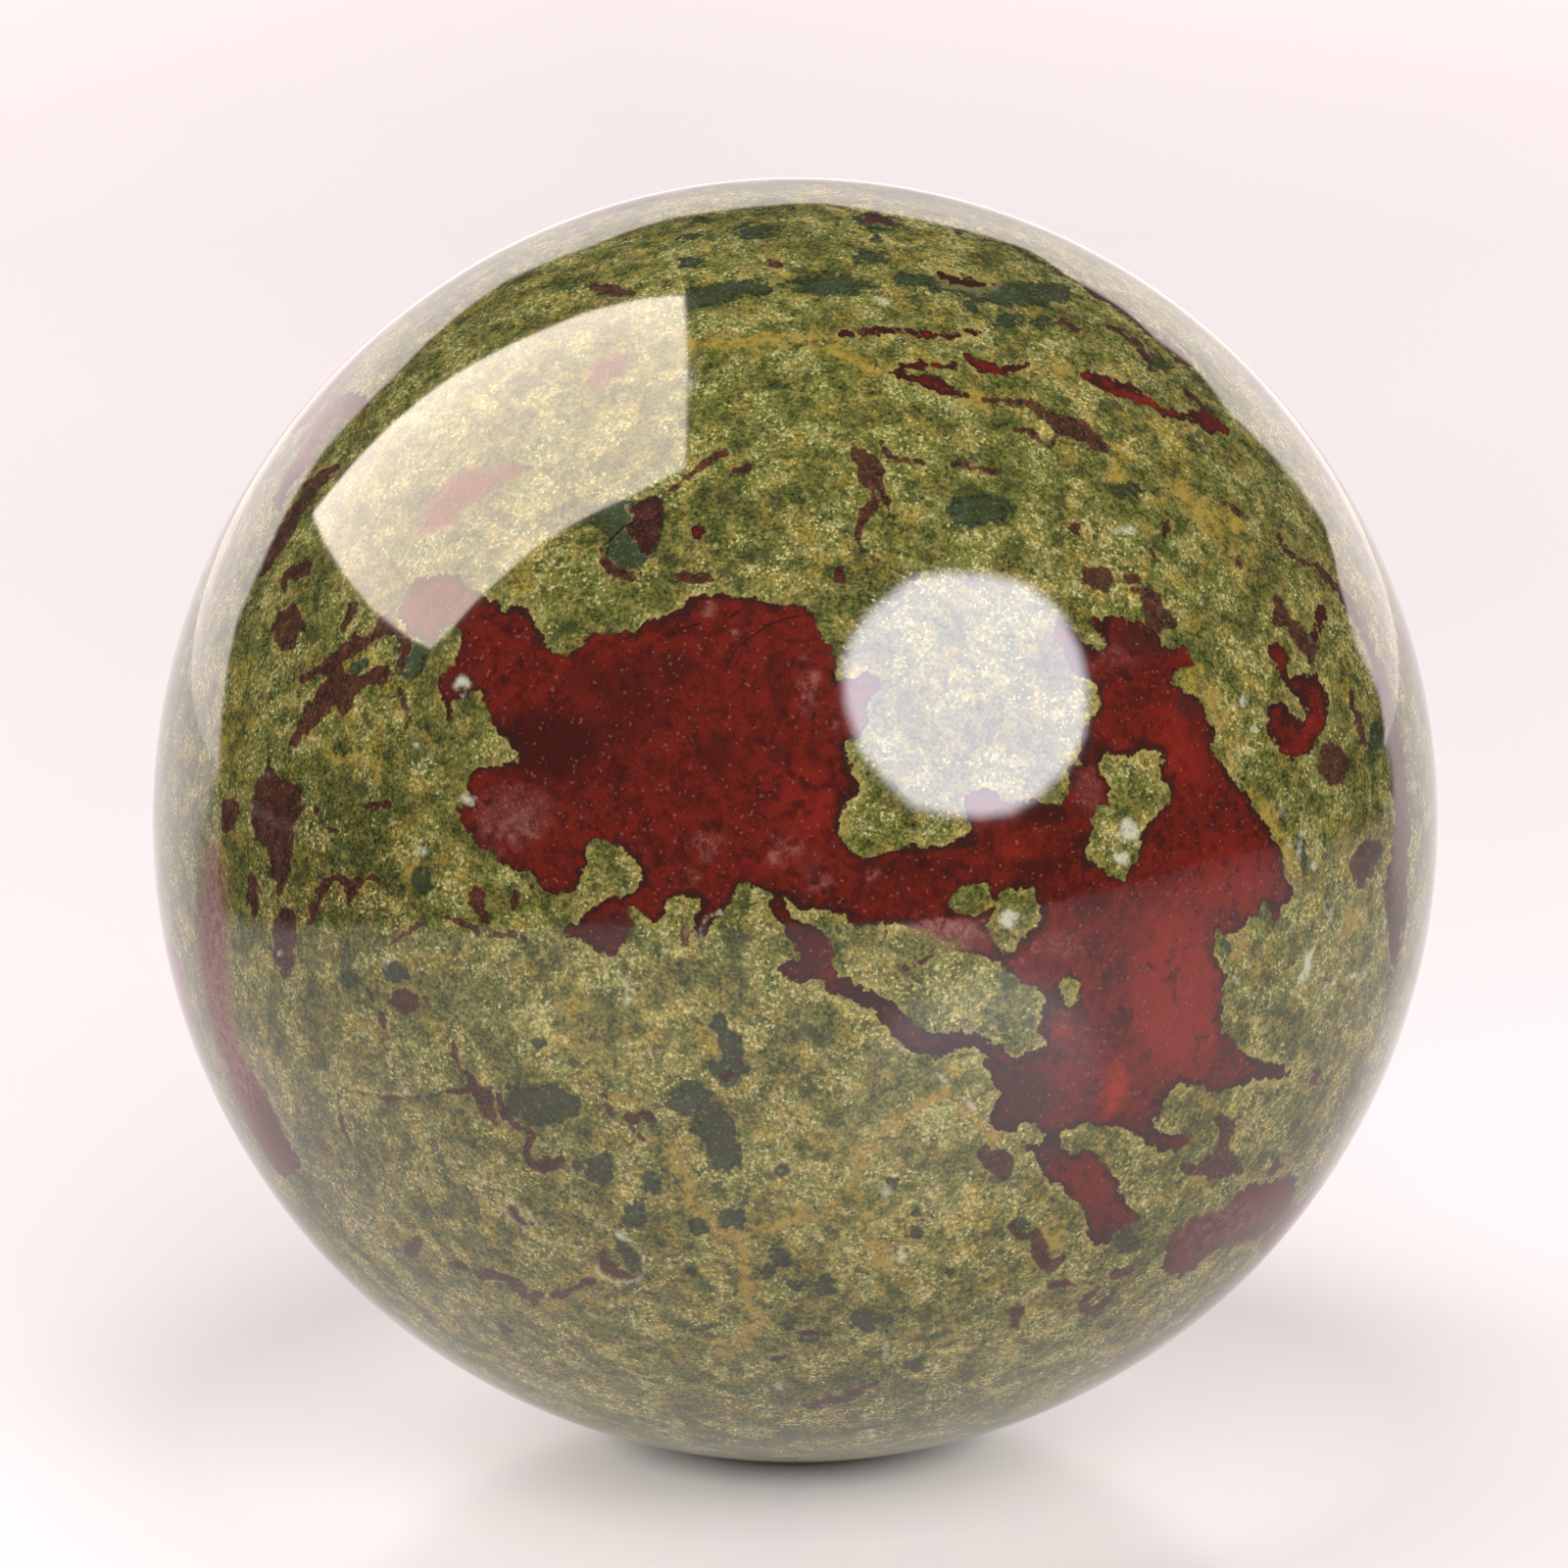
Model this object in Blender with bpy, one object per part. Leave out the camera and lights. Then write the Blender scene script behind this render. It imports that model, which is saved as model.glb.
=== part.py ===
"""A polished jasper ball, ground from one piece of stone, with the small flat spot that it rests on.

Run it with: blender --background --python part.py
Units are metres and +Z is up. The origin is the middle of the flat spot, on the surface that the ball stands on.
"""

import math

import bpy

BALL_DIAMETER = 0.060
REST_FLAT_DIAMETER = 0.0076

MERIDIANS = 96
PARALLELS = 48

STONE_GREEN = (0.182, 0.171, 0.062, 1.0)
STONE_ROUGHNESS = 0.08
STONE_IOR = 1.6

BALL_RADIUS = BALL_DIAMETER / 2
REST_FLAT_RADIUS = REST_FLAT_DIAMETER / 2
CENTRE_HEIGHT = math.sqrt(BALL_RADIUS**2 - REST_FLAT_RADIUS**2)


def clear_scene():
    for obj in list(bpy.data.objects):
        bpy.data.objects.remove(obj)


def new_collection(name):
    collection = bpy.data.collections.new(name)
    bpy.context.scene.collection.children.link(collection)
    return collection


def move_to(obj, collection):
    for holder in list(obj.users_collection):
        holder.objects.unlink(obj)
    collection.objects.link(obj)


def polished_stone():
    """The stone's mean colour, with the gloss of a hand-polished ball."""
    material = bpy.data.materials.new("polished_stone")
    material.use_nodes = True
    surface = material.node_tree.nodes["Principled BSDF"]
    surface.inputs["Base Color"].default_value = STONE_GREEN
    surface.inputs["Roughness"].default_value = STONE_ROUGHNESS
    surface.inputs["Metallic"].default_value = 0.0
    surface.inputs["IOR"].default_value = STONE_IOR
    return material


def add_flat_cutter(collection):
    """A block whose top face is the resting surface, so that it takes off the lowest cap of the ball."""
    bpy.ops.mesh.primitive_cube_add(size=BALL_DIAMETER)
    cutter = bpy.context.object
    cutter.name = "rest_flat_cutter"
    cutter.location = (0.0, 0.0, -BALL_RADIUS)
    cutter.hide_render = True
    cutter.display_type = "WIRE"
    move_to(cutter, collection)
    return cutter


def add_ball(collection, cutter):
    """The whole ball, its lowest cap ground away to the flat spot."""
    bpy.ops.mesh.primitive_uv_sphere_add(
        segments=MERIDIANS,
        ring_count=PARALLELS,
        radius=BALL_RADIUS,
        location=(0.0, 0.0, CENTRE_HEIGHT),
    )
    ball = bpy.context.object
    ball.name = "jasper_sphere"
    ball.data.materials.append(polished_stone())
    ball.data.shade_smooth()
    grind = ball.modifiers.new("rest_flat", "BOOLEAN")
    grind.operation = "DIFFERENCE"
    grind.solver = "EXACT"
    grind.object = cutter
    move_to(ball, collection)
    return ball


def main():
    clear_scene()
    cutter = add_flat_cutter(new_collection("cutters"))
    add_ball(new_collection("dragon_blood_jasper_sphere"), cutter)


main()
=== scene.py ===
import math
import random

import bpy
import numpy as np
from mathutils import Matrix, Vector, noise


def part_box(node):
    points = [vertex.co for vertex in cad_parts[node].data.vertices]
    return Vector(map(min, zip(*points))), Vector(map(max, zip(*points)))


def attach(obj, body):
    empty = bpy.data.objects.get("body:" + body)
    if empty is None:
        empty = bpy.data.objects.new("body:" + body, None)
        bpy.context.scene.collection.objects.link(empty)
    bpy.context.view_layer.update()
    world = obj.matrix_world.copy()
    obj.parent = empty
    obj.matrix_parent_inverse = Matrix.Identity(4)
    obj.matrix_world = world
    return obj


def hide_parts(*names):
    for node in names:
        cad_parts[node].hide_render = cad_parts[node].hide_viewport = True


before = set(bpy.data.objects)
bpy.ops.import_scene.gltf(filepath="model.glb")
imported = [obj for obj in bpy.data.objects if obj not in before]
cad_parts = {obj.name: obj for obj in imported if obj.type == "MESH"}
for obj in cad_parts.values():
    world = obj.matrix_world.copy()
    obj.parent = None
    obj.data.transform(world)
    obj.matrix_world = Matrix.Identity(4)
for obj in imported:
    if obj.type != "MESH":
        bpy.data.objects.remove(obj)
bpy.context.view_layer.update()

MM = 0.001

# The ball, as packed.
BALL_LOW, BALL_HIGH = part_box("jasper_sphere")
RADIUS = (BALL_HIGH[0] - BALL_LOW[0]) / 2
CENTRE = np.array((0.0, 0.0, BALL_HIGH[2] - RADIUS))
FLAT_RADIUS = math.sqrt(RADIUS**2 - CENTRE[2]**2)

# Where the ball lies in the photo, in pixels, and from where it is seen.
PHOTO_SIDE = 1600
BALL_X = 811.3
BALL_Y = 836.3
BALL_PIXELS = 655.7
CAMERA_DISTANCE = 11 * RADIUS
CAMERA_ELEVATION = math.radians(12.9)
SENSOR_MM = 36.0
FOCAL_PIXELS = BALL_PIXELS / math.tan(math.asin(RADIUS / CAMERA_DISTANCE))
PIXEL_MM = RADIUS / BALL_PIXELS / MM


def unit(vector):
    return vector / np.linalg.norm(vector, axis=-1, keepdims=True)


# The camera's place and axes. It looks a little past the ball, which isn't quite in the photo's middle.
TO_CAMERA = np.array((0.0, -math.cos(CAMERA_ELEVATION), math.sin(CAMERA_ELEVATION)))
EYE = CENTRE + CAMERA_DISTANCE * TO_CAMERA
LEVEL_UP = np.array((0.0, math.sin(CAMERA_ELEVATION), math.cos(CAMERA_ELEVATION)))
AIM_RIGHT = (BALL_X - PHOTO_SIDE / 2) / FOCAL_PIXELS
AIM_DOWN = (BALL_Y - PHOTO_SIDE / 2) / FOCAL_PIXELS
SIGHT = unit(-TO_CAMERA - AIM_RIGHT * np.array((1.0, 0.0, 0.0)) + AIM_DOWN * LEVEL_UP)
SIGHT_RIGHT = unit(np.cross(SIGHT, LEVEL_UP))
SIGHT_UP = np.cross(SIGHT_RIGHT, SIGHT)


def photo_pixels(points):
    """The photo pixel at which each point in space shows."""
    away = points - EYE
    depth = away @ SIGHT
    across = PHOTO_SIDE / 2 + FOCAL_PIXELS * (away @ SIGHT_RIGHT) / depth
    down = PHOTO_SIDE / 2 - FOCAL_PIXELS * (away @ SIGHT_UP) / depth
    return np.stack((across, down), axis=1)


def mirror_ray(pixel):
    """The place on the ball that shows at a photo pixel, and the direction that its gloss mirrors."""
    across = (pixel[0] - PHOTO_SIDE / 2) / FOCAL_PIXELS
    down = (pixel[1] - PHOTO_SIDE / 2) / FOCAL_PIXELS
    ray = unit(SIGHT + across * SIGHT_RIGHT - down * SIGHT_UP)
    along = ray @ (CENTRE - EYE)
    miss = CAMERA_DISTANCE**2 - along**2
    reach = along - math.sqrt(max(RADIUS**2 - miss, 0.0))
    place = EYE + reach * ray
    normal = unit(place - CENTRE)
    return place, ray - 2 * (ray @ normal) * normal


def on_dome(pixel, radius):
    """The point of a dome round the ball whose mirror image shows at a photo pixel."""
    place, ray = mirror_ray(pixel)
    start = place - CENTRE
    along = start @ ray
    return place + ray * (math.sqrt(along**2 + radius**2 - start @ start) - along)


def on_table(pixel, height):
    """The point at a height over the table whose mirror image shows at a photo pixel."""
    place, ray = mirror_ray(pixel)
    return place + ray * ((height - place[2]) / ray[2])


# Camera, table and light.

CLIP_START = 0.01
WARM_WHITE = (1.0, 0.965, 0.955)
SKY_GLOW = 0.40
SQUARE_LAMP_TINT = (1.0, 0.85, 0.74)
ROUND_LAMP_TINT = (1.0, 0.965, 1.08)
ROOM_GLOW = 0.08
DOME_RADIUS = 0.80
DOME_MERIDIANS = 48
DOME_PARALLELS = 24
CARD_RADIUS = 0.72

# The pale sweep behind the ball: its middle, how much it brightens to its sides, and how its foot is laid.
BACKDROP_TINT = (0.985, 0.87, 0.865)
BACKDROP_MIDDLE = (0.0, 1.0, 0.12)
BACKDROP_SIDE_GAIN = 0.70
BACKDROP_FOOT_STEPS = 12
BACKDROP_FOOT_DROP = 0.02
BACKDROP_FOOT_BACK = 0.2

# The mirror images of the square lamp and the round lamp, and the edges of the backdrop's and the table's.
SQUARE_LAMP = (
    (698, 302), (640, 309), (592, 322), (546, 341), (500, 363), (451, 392), (412, 423), (377, 456),
    (347, 490), (320, 524), (334, 556), (355, 589), (380, 620), (408, 643), (440, 662), (449, 651),
    (463, 639), (483, 616), (505, 595), (528, 574), (550, 555), (595, 529), (642, 507), (670, 492),
    (699, 478), (700, 430), (701, 380), (700, 340),
)
ROUND_LAMP = (
    (862, 680), (871, 652), (890, 625), (930, 592), (965, 586), (1000, 588), (1030, 592), (1050, 600),
    (1080, 625), (1100, 665), (1108, 700), (1104, 750), (1085, 785), (1060, 810), (1030, 828), (1000, 832),
    (965, 829), (930, 820), (905, 795), (880, 765), (865, 720),
)
BACKDROP_EDGE = (
    (226, 837), (223, 773), (228, 709), (240, 638), (269, 571), (298, 510), (333, 456), (371, 415),
    (403, 383), (451, 335), (515, 287), (600, 252), (687, 222), (741, 214), (789, 209), (837, 207),
    (901, 217), (965, 230), (1012, 242), (1050, 255), (1089, 281), (1147, 316), (1179, 345), (1217, 373),
    (1255, 421), (1303, 469), (1351, 533), (1367, 596), (1383, 655), (1408, 709), (1415, 754), (1413, 800),
    (1411, 835),
)
TABLE_EDGE = (
    (222, 800), (226, 850), (222, 890), (228, 930), (250, 941), (400, 943), (600, 943), (811, 942),
    (1000, 935), (1100, 915), (1200, 888), (1271, 869), (1340, 858), (1395, 845), (1411, 835), (1420, 800),
)

# The table top's painted glow: light painted into it as emission, left out near the ball's foot as a painted
# contact shadow: (distance from the ball's foot in mm, glow).
TABLE_HALF_SIDE = 2.5
TABLE_COLOUR = (0.70, 0.645, 0.66, 1.0)
TABLE_ROUGHNESS = 0.16
TABLE_IOR = 1.34
PAINTED_GLOW_REACH = 500.0
PAINTED_GLOW_TINT = (0.99, 0.945, 0.945)
PAINTED_GLOW_TABLE = (
    (0.0, 0.0), (5.4, 0.0), (7.0, 0.08), (9.2, 0.33), (13.0, 0.41), (17.6, 0.4), (22.9, 0.31), (30.0, 0.19),
    (42.0, 0.26), (70.0, 0.24), (140.0, 0.18), (230.0, 0.14), (300.0, 0.11), (400.0, 0.03), (500.0, 0.0),
)

# The room past the table's edge, laid just over the floor: (scale about the ball's foot, cover).
COVER_HEIGHT = 0.0005
SURROUND_STRIPS = ((0.93, 0.0), (1.09, 1.0), (4.0, 1.0))

# How the mirror images brighten from their edges inwards: (scale about the middle, glow, cover).
BACKDROP_LEVELS = ((1.03, 1.6, 0.0), (0.985, 1.6, 1.0), (0.6, 1.5, 1.0), (0.3, 1.15, 1.0), (0.1, 0.98, 1.0))
SQUARE_LAMP_LEVELS = ((1.012, 7.8, 0.0), (0.995, 7.8, 1.0), (0.86, 7.7, 1.0), (0.78, 7.2, 1.0))
ROUND_LAMP_LEVELS = ((1.06, 10.5, 0.0), (0.96, 10.5, 1.0), (0.5, 10.0, 1.0))

# The lamps that light the scene: name, place, width in metres and watts.
FILL_DIRECTION = unit(np.array((0.12, -0.62, 0.80)))
LAMPS = (
    ("key_lamp", on_dome((520, 470), CARD_RADIUS), 0.45, 1.6),
    ("front_lamp", on_dome((985, 708), CARD_RADIUS), 0.35, 1.0),
    ("fill_lamp", CENTRE + CARD_RADIUS * FILL_DIRECTION, 0.55, 2.9),
)


def add_object(name, mesh):
    thing = bpy.data.objects.new(name, mesh)
    bpy.context.scene.collection.objects.link(thing)
    return thing


def add_camera():
    data = bpy.data.cameras.new("photo_camera")
    data.sensor_width = SENSOR_MM
    data.lens = SENSOR_MM * FOCAL_PIXELS / PHOTO_SIDE
    data.clip_start = CLIP_START
    camera = add_object("photo_camera", data)
    axes = Matrix((SIGHT_RIGHT, SIGHT_UP, -SIGHT)).transposed().to_4x4()
    camera.matrix_world = Matrix.Translation(Vector(EYE)) @ axes
    bpy.context.scene.camera = camera
    bpy.context.scene.view_settings.view_transform = "Standard"


def add_sky():
    world = bpy.data.worlds.new("studio")
    bpy.context.scene.world = world
    world.use_nodes = True
    background = world.node_tree.nodes["Background"]
    background.inputs["Color"].default_value = (*WARM_WHITE, 1.0)
    background.inputs["Strength"].default_value = SKY_GLOW


def only_in_gloss(thing):
    """A card that shows in polished surfaces alone, and neither hides nor lights anything."""
    thing.visible_camera = False
    thing.visible_diffuse = False
    thing.visible_transmission = False
    thing.visible_shadow = False


def card_material(name, tint):
    """Light of the strength in the card's glow attribute, let through where its cover attribute is low."""
    material = bpy.data.materials.new(name)
    material.use_nodes = True
    graph = Graph(material.node_tree)
    glow = graph.attribute("glow")
    cover = graph.attribute("cover")
    light = graph.add("ShaderNodeEmission", {}, {"Color": (*tint, 1.0), "Strength": glow})
    clear = graph.add("ShaderNodeBsdfTransparent")
    graph.surface(graph.add("ShaderNodeMixShader", {}, {0: cover, 1: clear, 2: light}))
    return material


def add_card(name, rings, tint):
    """A card made of rings of points, outermost first. Each ring is (points, glow, cover)."""
    count = len(rings[0][0])
    points = [tuple(point) for ring, glow, cover in rings for point in ring]
    middle = np.mean(rings[-1][0], axis=0)
    points.append(tuple(middle))
    faces = []
    for level in range(len(rings) - 1):
        outer = level * count
        inner = outer + count
        for i in range(count):
            j = (i + 1) % count
            faces.append((outer + i, outer + j, inner + j, inner + i))
    last = (len(rings) - 1) * count
    for i in range(count):
        faces.append((last + i, last + (i + 1) % count, len(points) - 1))
    mesh = bpy.data.meshes.new(name)
    mesh.from_pydata(points, [], faces)
    for key, column in (("glow", 1), ("cover", 2)):
        values = np.concatenate([np.broadcast_to(ring[column], count) for ring in rings])
        values = np.append(values, values[-count:].mean())
        mesh.attributes.new(key, "FLOAT", "POINT").data.foreach_set("value", values)
    mesh.materials.append(card_material(name, tint))
    card = add_object(name, mesh)
    only_in_gloss(card)


def lamp_card(name, outline, levels, tint):
    """A lamp as it mirrors in the ball. levels are (scale about its middle, glow, cover), outermost first."""
    outline = np.array(outline, float)
    middle = outline.mean(axis=0)
    rings = []
    for scale, glow, cover in levels:
        ring = [on_dome(middle + scale * (pixel - middle), CARD_RADIUS) for pixel in outline]
        rings.append((ring, glow, cover))
    add_card(name, rings, tint)


def backdrop_card():
    """The pale sweep behind the ball. It mirrors in the ball's rim, and in the table."""
    edge = [on_dome(pixel, CARD_RADIUS) for pixel in BACKDROP_EDGE]
    foot = []
    for step in range(1, BACKDROP_FOOT_STEPS):
        share = step / BACKDROP_FOOT_STEPS
        point = edge[-1] * (1 - share) + edge[0] * share - CENTRE
        point[2] = -BACKDROP_FOOT_DROP
        point[1] = max(point[1], BACKDROP_FOOT_BACK)
        foot.append(CENTRE + unit(point) * CARD_RADIUS)
    edge = np.array(edge + foot)
    middle = CENTRE + CARD_RADIUS * unit(np.array(BACKDROP_MIDDLE))
    rings = []
    for scale, glow, cover in BACKDROP_LEVELS:
        ring = unit(middle + scale * (edge - middle) - CENTRE)
        glow = glow * (1 + BACKDROP_SIDE_GAIN * np.abs(ring[:, 0]))
        rings.append((CENTRE + CARD_RADIUS * ring, glow, cover))
    add_card("backdrop_card", rings, BACKDROP_TINT)


def table_surround():
    """The dark room past the table's edge, which the ball alone mirrors."""
    edge = np.array([on_table(pixel, COVER_HEIGHT) for pixel in TABLE_EDGE])
    points = []
    covers = []
    for scale, cover in SURROUND_STRIPS:
        for x, y in edge[:, :2]:
            points.append((x * scale, y * scale, COVER_HEIGHT))
            covers.append(cover)
    count = len(edge)
    faces = []
    for level in range(len(SURROUND_STRIPS) - 1):
        for i in range(count - 1):
            corner = level * count + i
            faces.append((corner, corner + 1, corner + count + 1, corner + count))
    mesh = bpy.data.meshes.new("table_surround")
    mesh.from_pydata(points, [], faces)
    mesh.attributes.new("glow", "FLOAT", "POINT").data.foreach_set("value", [ROOM_GLOW] * len(points))
    mesh.attributes.new("cover", "FLOAT", "POINT").data.foreach_set("value", covers)
    mesh.materials.append(card_material("table_surround", WARM_WHITE))
    surround = add_object("table_surround", mesh)
    only_in_gloss(surround)


def dark_room():
    """A dim dome round everything, which only polished surfaces see."""
    bpy.ops.mesh.primitive_uv_sphere_add(
        segments=DOME_MERIDIANS,
        ring_count=DOME_PARALLELS,
        radius=DOME_RADIUS,
        location=tuple(CENTRE),
    )
    dome = bpy.context.object
    dome.name = "dark_room"
    material = bpy.data.materials.new("dark_room")
    material.use_nodes = True
    graph = Graph(material.node_tree)
    graph.surface(graph.add("ShaderNodeEmission", {}, {"Color": (*WARM_WHITE, 1.0), "Strength": ROOM_GLOW}))
    dome.data.materials.append(material)
    only_in_gloss(dome)


def add_lamp(name, place, size, watts):
    """A soft lamp turned to the ball. It doesn't show in the gloss, where a card stands for it."""
    data = bpy.data.lights.new(name, "AREA")
    data.shape = "DISK"
    data.size = size
    data.energy = watts
    data.color = WARM_WHITE
    lamp = add_object(name, data)
    place = Vector(place)
    aim = (place - Vector(CENTRE)).to_track_quat("Z", "Y").to_matrix().to_4x4()
    lamp.matrix_world = Matrix.Translation(place) @ aim
    lamp.visible_glossy = False


def add_table():
    half = TABLE_HALF_SIDE
    corners = [(-half, -half, 0), (half, -half, 0), (half, half, 0), (-half, half, 0)]
    mesh = bpy.data.meshes.new("table_top")
    mesh.from_pydata(corners, [], [(0, 1, 2, 3)])
    material = bpy.data.materials.new("pale_table_painted_glow")
    material.use_nodes = True
    graph = Graph(material.node_tree)
    place = graph.add("ShaderNodeTexCoord", output="Object")
    distance = graph.add("ShaderNodeVectorMath", {"operation": "LENGTH"}, {0: place}, output="Value")
    # The table glows by its distance from the ball's foot: painted light, with painted shade where it stays
    # dark at the foot.
    stops = [(away / PAINTED_GLOW_REACH, (*(glow * tint for tint in PAINTED_GLOW_TINT), 1.0)) for away, glow in PAINTED_GLOW_TABLE]
    sockets = {
        "Base Color": TABLE_COLOUR,
        "Roughness": TABLE_ROUGHNESS,
        "IOR": TABLE_IOR,
        "Emission Color": graph.ramp(distance * (1 / (PAINTED_GLOW_REACH * MM)), stops),
        "Emission Strength": 1.0,
    }
    graph.surface(graph.add("ShaderNodeBsdfPrincipled", {}, sockets))
    mesh.materials.append(material)
    table = add_object("table_top", mesh)


def add_studio():
    add_camera()
    add_sky()
    add_table()
    dark_room()
    backdrop_card()
    table_surround()
    lamp_card("square_lamp", SQUARE_LAMP, SQUARE_LAMP_LEVELS, SQUARE_LAMP_TINT)
    lamp_card("round_lamp", ROUND_LAMP, ROUND_LAMP_LEVELS, ROUND_LAMP_TINT)
    for lamp in LAMPS:
        add_lamp(*lamp)


# Shader nodes.

def paint(red, green, blue):
    """A colour as read off the screen, 0 to 255, turned to the light values that a shader works in."""
    channels = []
    for value in (red, green, blue):
        value = value / 255
        channels.append(value / 12.92 if value <= 0.04045 else ((value + 0.055) / 1.055) ** 2.4)
    return (*channels, 1.0)


class Value:
    """A number that changes over a surface. Sums with it add Math nodes."""

    def __init__(self, graph, socket):
        self.graph = graph
        self.socket = socket

    def maths(self, operation, first, second, clamp=False):
        settings = {"operation": operation, "use_clamp": clamp}
        return self.graph.add("ShaderNodeMath", settings, {0: first, 1: second})

    def __add__(self, other):
        return self.maths("ADD", self, other)

    def __radd__(self, other):
        return self.maths("ADD", other, self)

    def __sub__(self, other):
        return self.maths("SUBTRACT", self, other)

    def __rsub__(self, other):
        return self.maths("SUBTRACT", other, self)

    def __mul__(self, other):
        return self.maths("MULTIPLY", self, other)

    def __rmul__(self, other):
        return self.maths("MULTIPLY", other, self)

    def size(self):
        return self.maths("ABSOLUTE", self, 0.0)

    def clamped(self):
        return self.maths("ADD", self, 0.0, clamp=True)

    def rise(self, low, high):
        """0 below low, 1 above high, and smooth between them. High may be the lower of the two."""
        sockets = {"Value": self, "From Min": low, "From Max": high}
        return self.graph.add("ShaderNodeMapRange", {"interpolation_type": "SMOOTHSTEP"}, sockets)


class Graph:
    """Adds nodes to one node tree."""

    def __init__(self, tree):
        self.tree = tree
        tree.nodes.clear()

    def add(self, kind, settings=None, sockets=None, output=0):
        node = self.tree.nodes.new(kind)
        for name, setting in (settings or {}).items():
            if name == "stops":
                self.set_stops(node.color_ramp, setting)
            else:
                setattr(node, name, setting)
        for key, value in (sockets or {}).items():
            if isinstance(value, Value):
                self.tree.links.new(value.socket, node.inputs[key])
            else:
                node.inputs[key].default_value = value
        return Value(self, node.outputs[output])

    @staticmethod
    def set_stops(ramp, stops):
        while len(ramp.elements) < len(stops):
            ramp.elements.new(1.0)
        for element, (position, colour) in zip(ramp.elements, stops):
            element.position = position
            element.color = colour

    def blend(self, factor, first, second, how="MIX"):
        """Two colours mixed by a number from 0 to 1."""
        settings = {"data_type": "RGBA", "blend_type": how, "clamp_factor": True}
        return self.add("ShaderNodeMix", settings, {0: factor, 6: first, 7: second}, output=2)

    def ramp(self, number, stops):
        return self.add("ShaderNodeValToRGB", {"stops": stops}, {"Fac": number})

    def attribute(self, name):
        return self.add("ShaderNodeAttribute", {"attribute_name": name}, output="Fac")

    def surface(self, shader):
        target = self.tree.nodes.new("ShaderNodeOutputMaterial")
        self.tree.links.new(shader.socket, target.inputs["Surface"])


# The markings on the side that shows, in photo pixels.
# A patch is a closed outline. A vein is a run of (across, down, half width). A spot is
# (across, down, half length, half width, turn in degrees).

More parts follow.
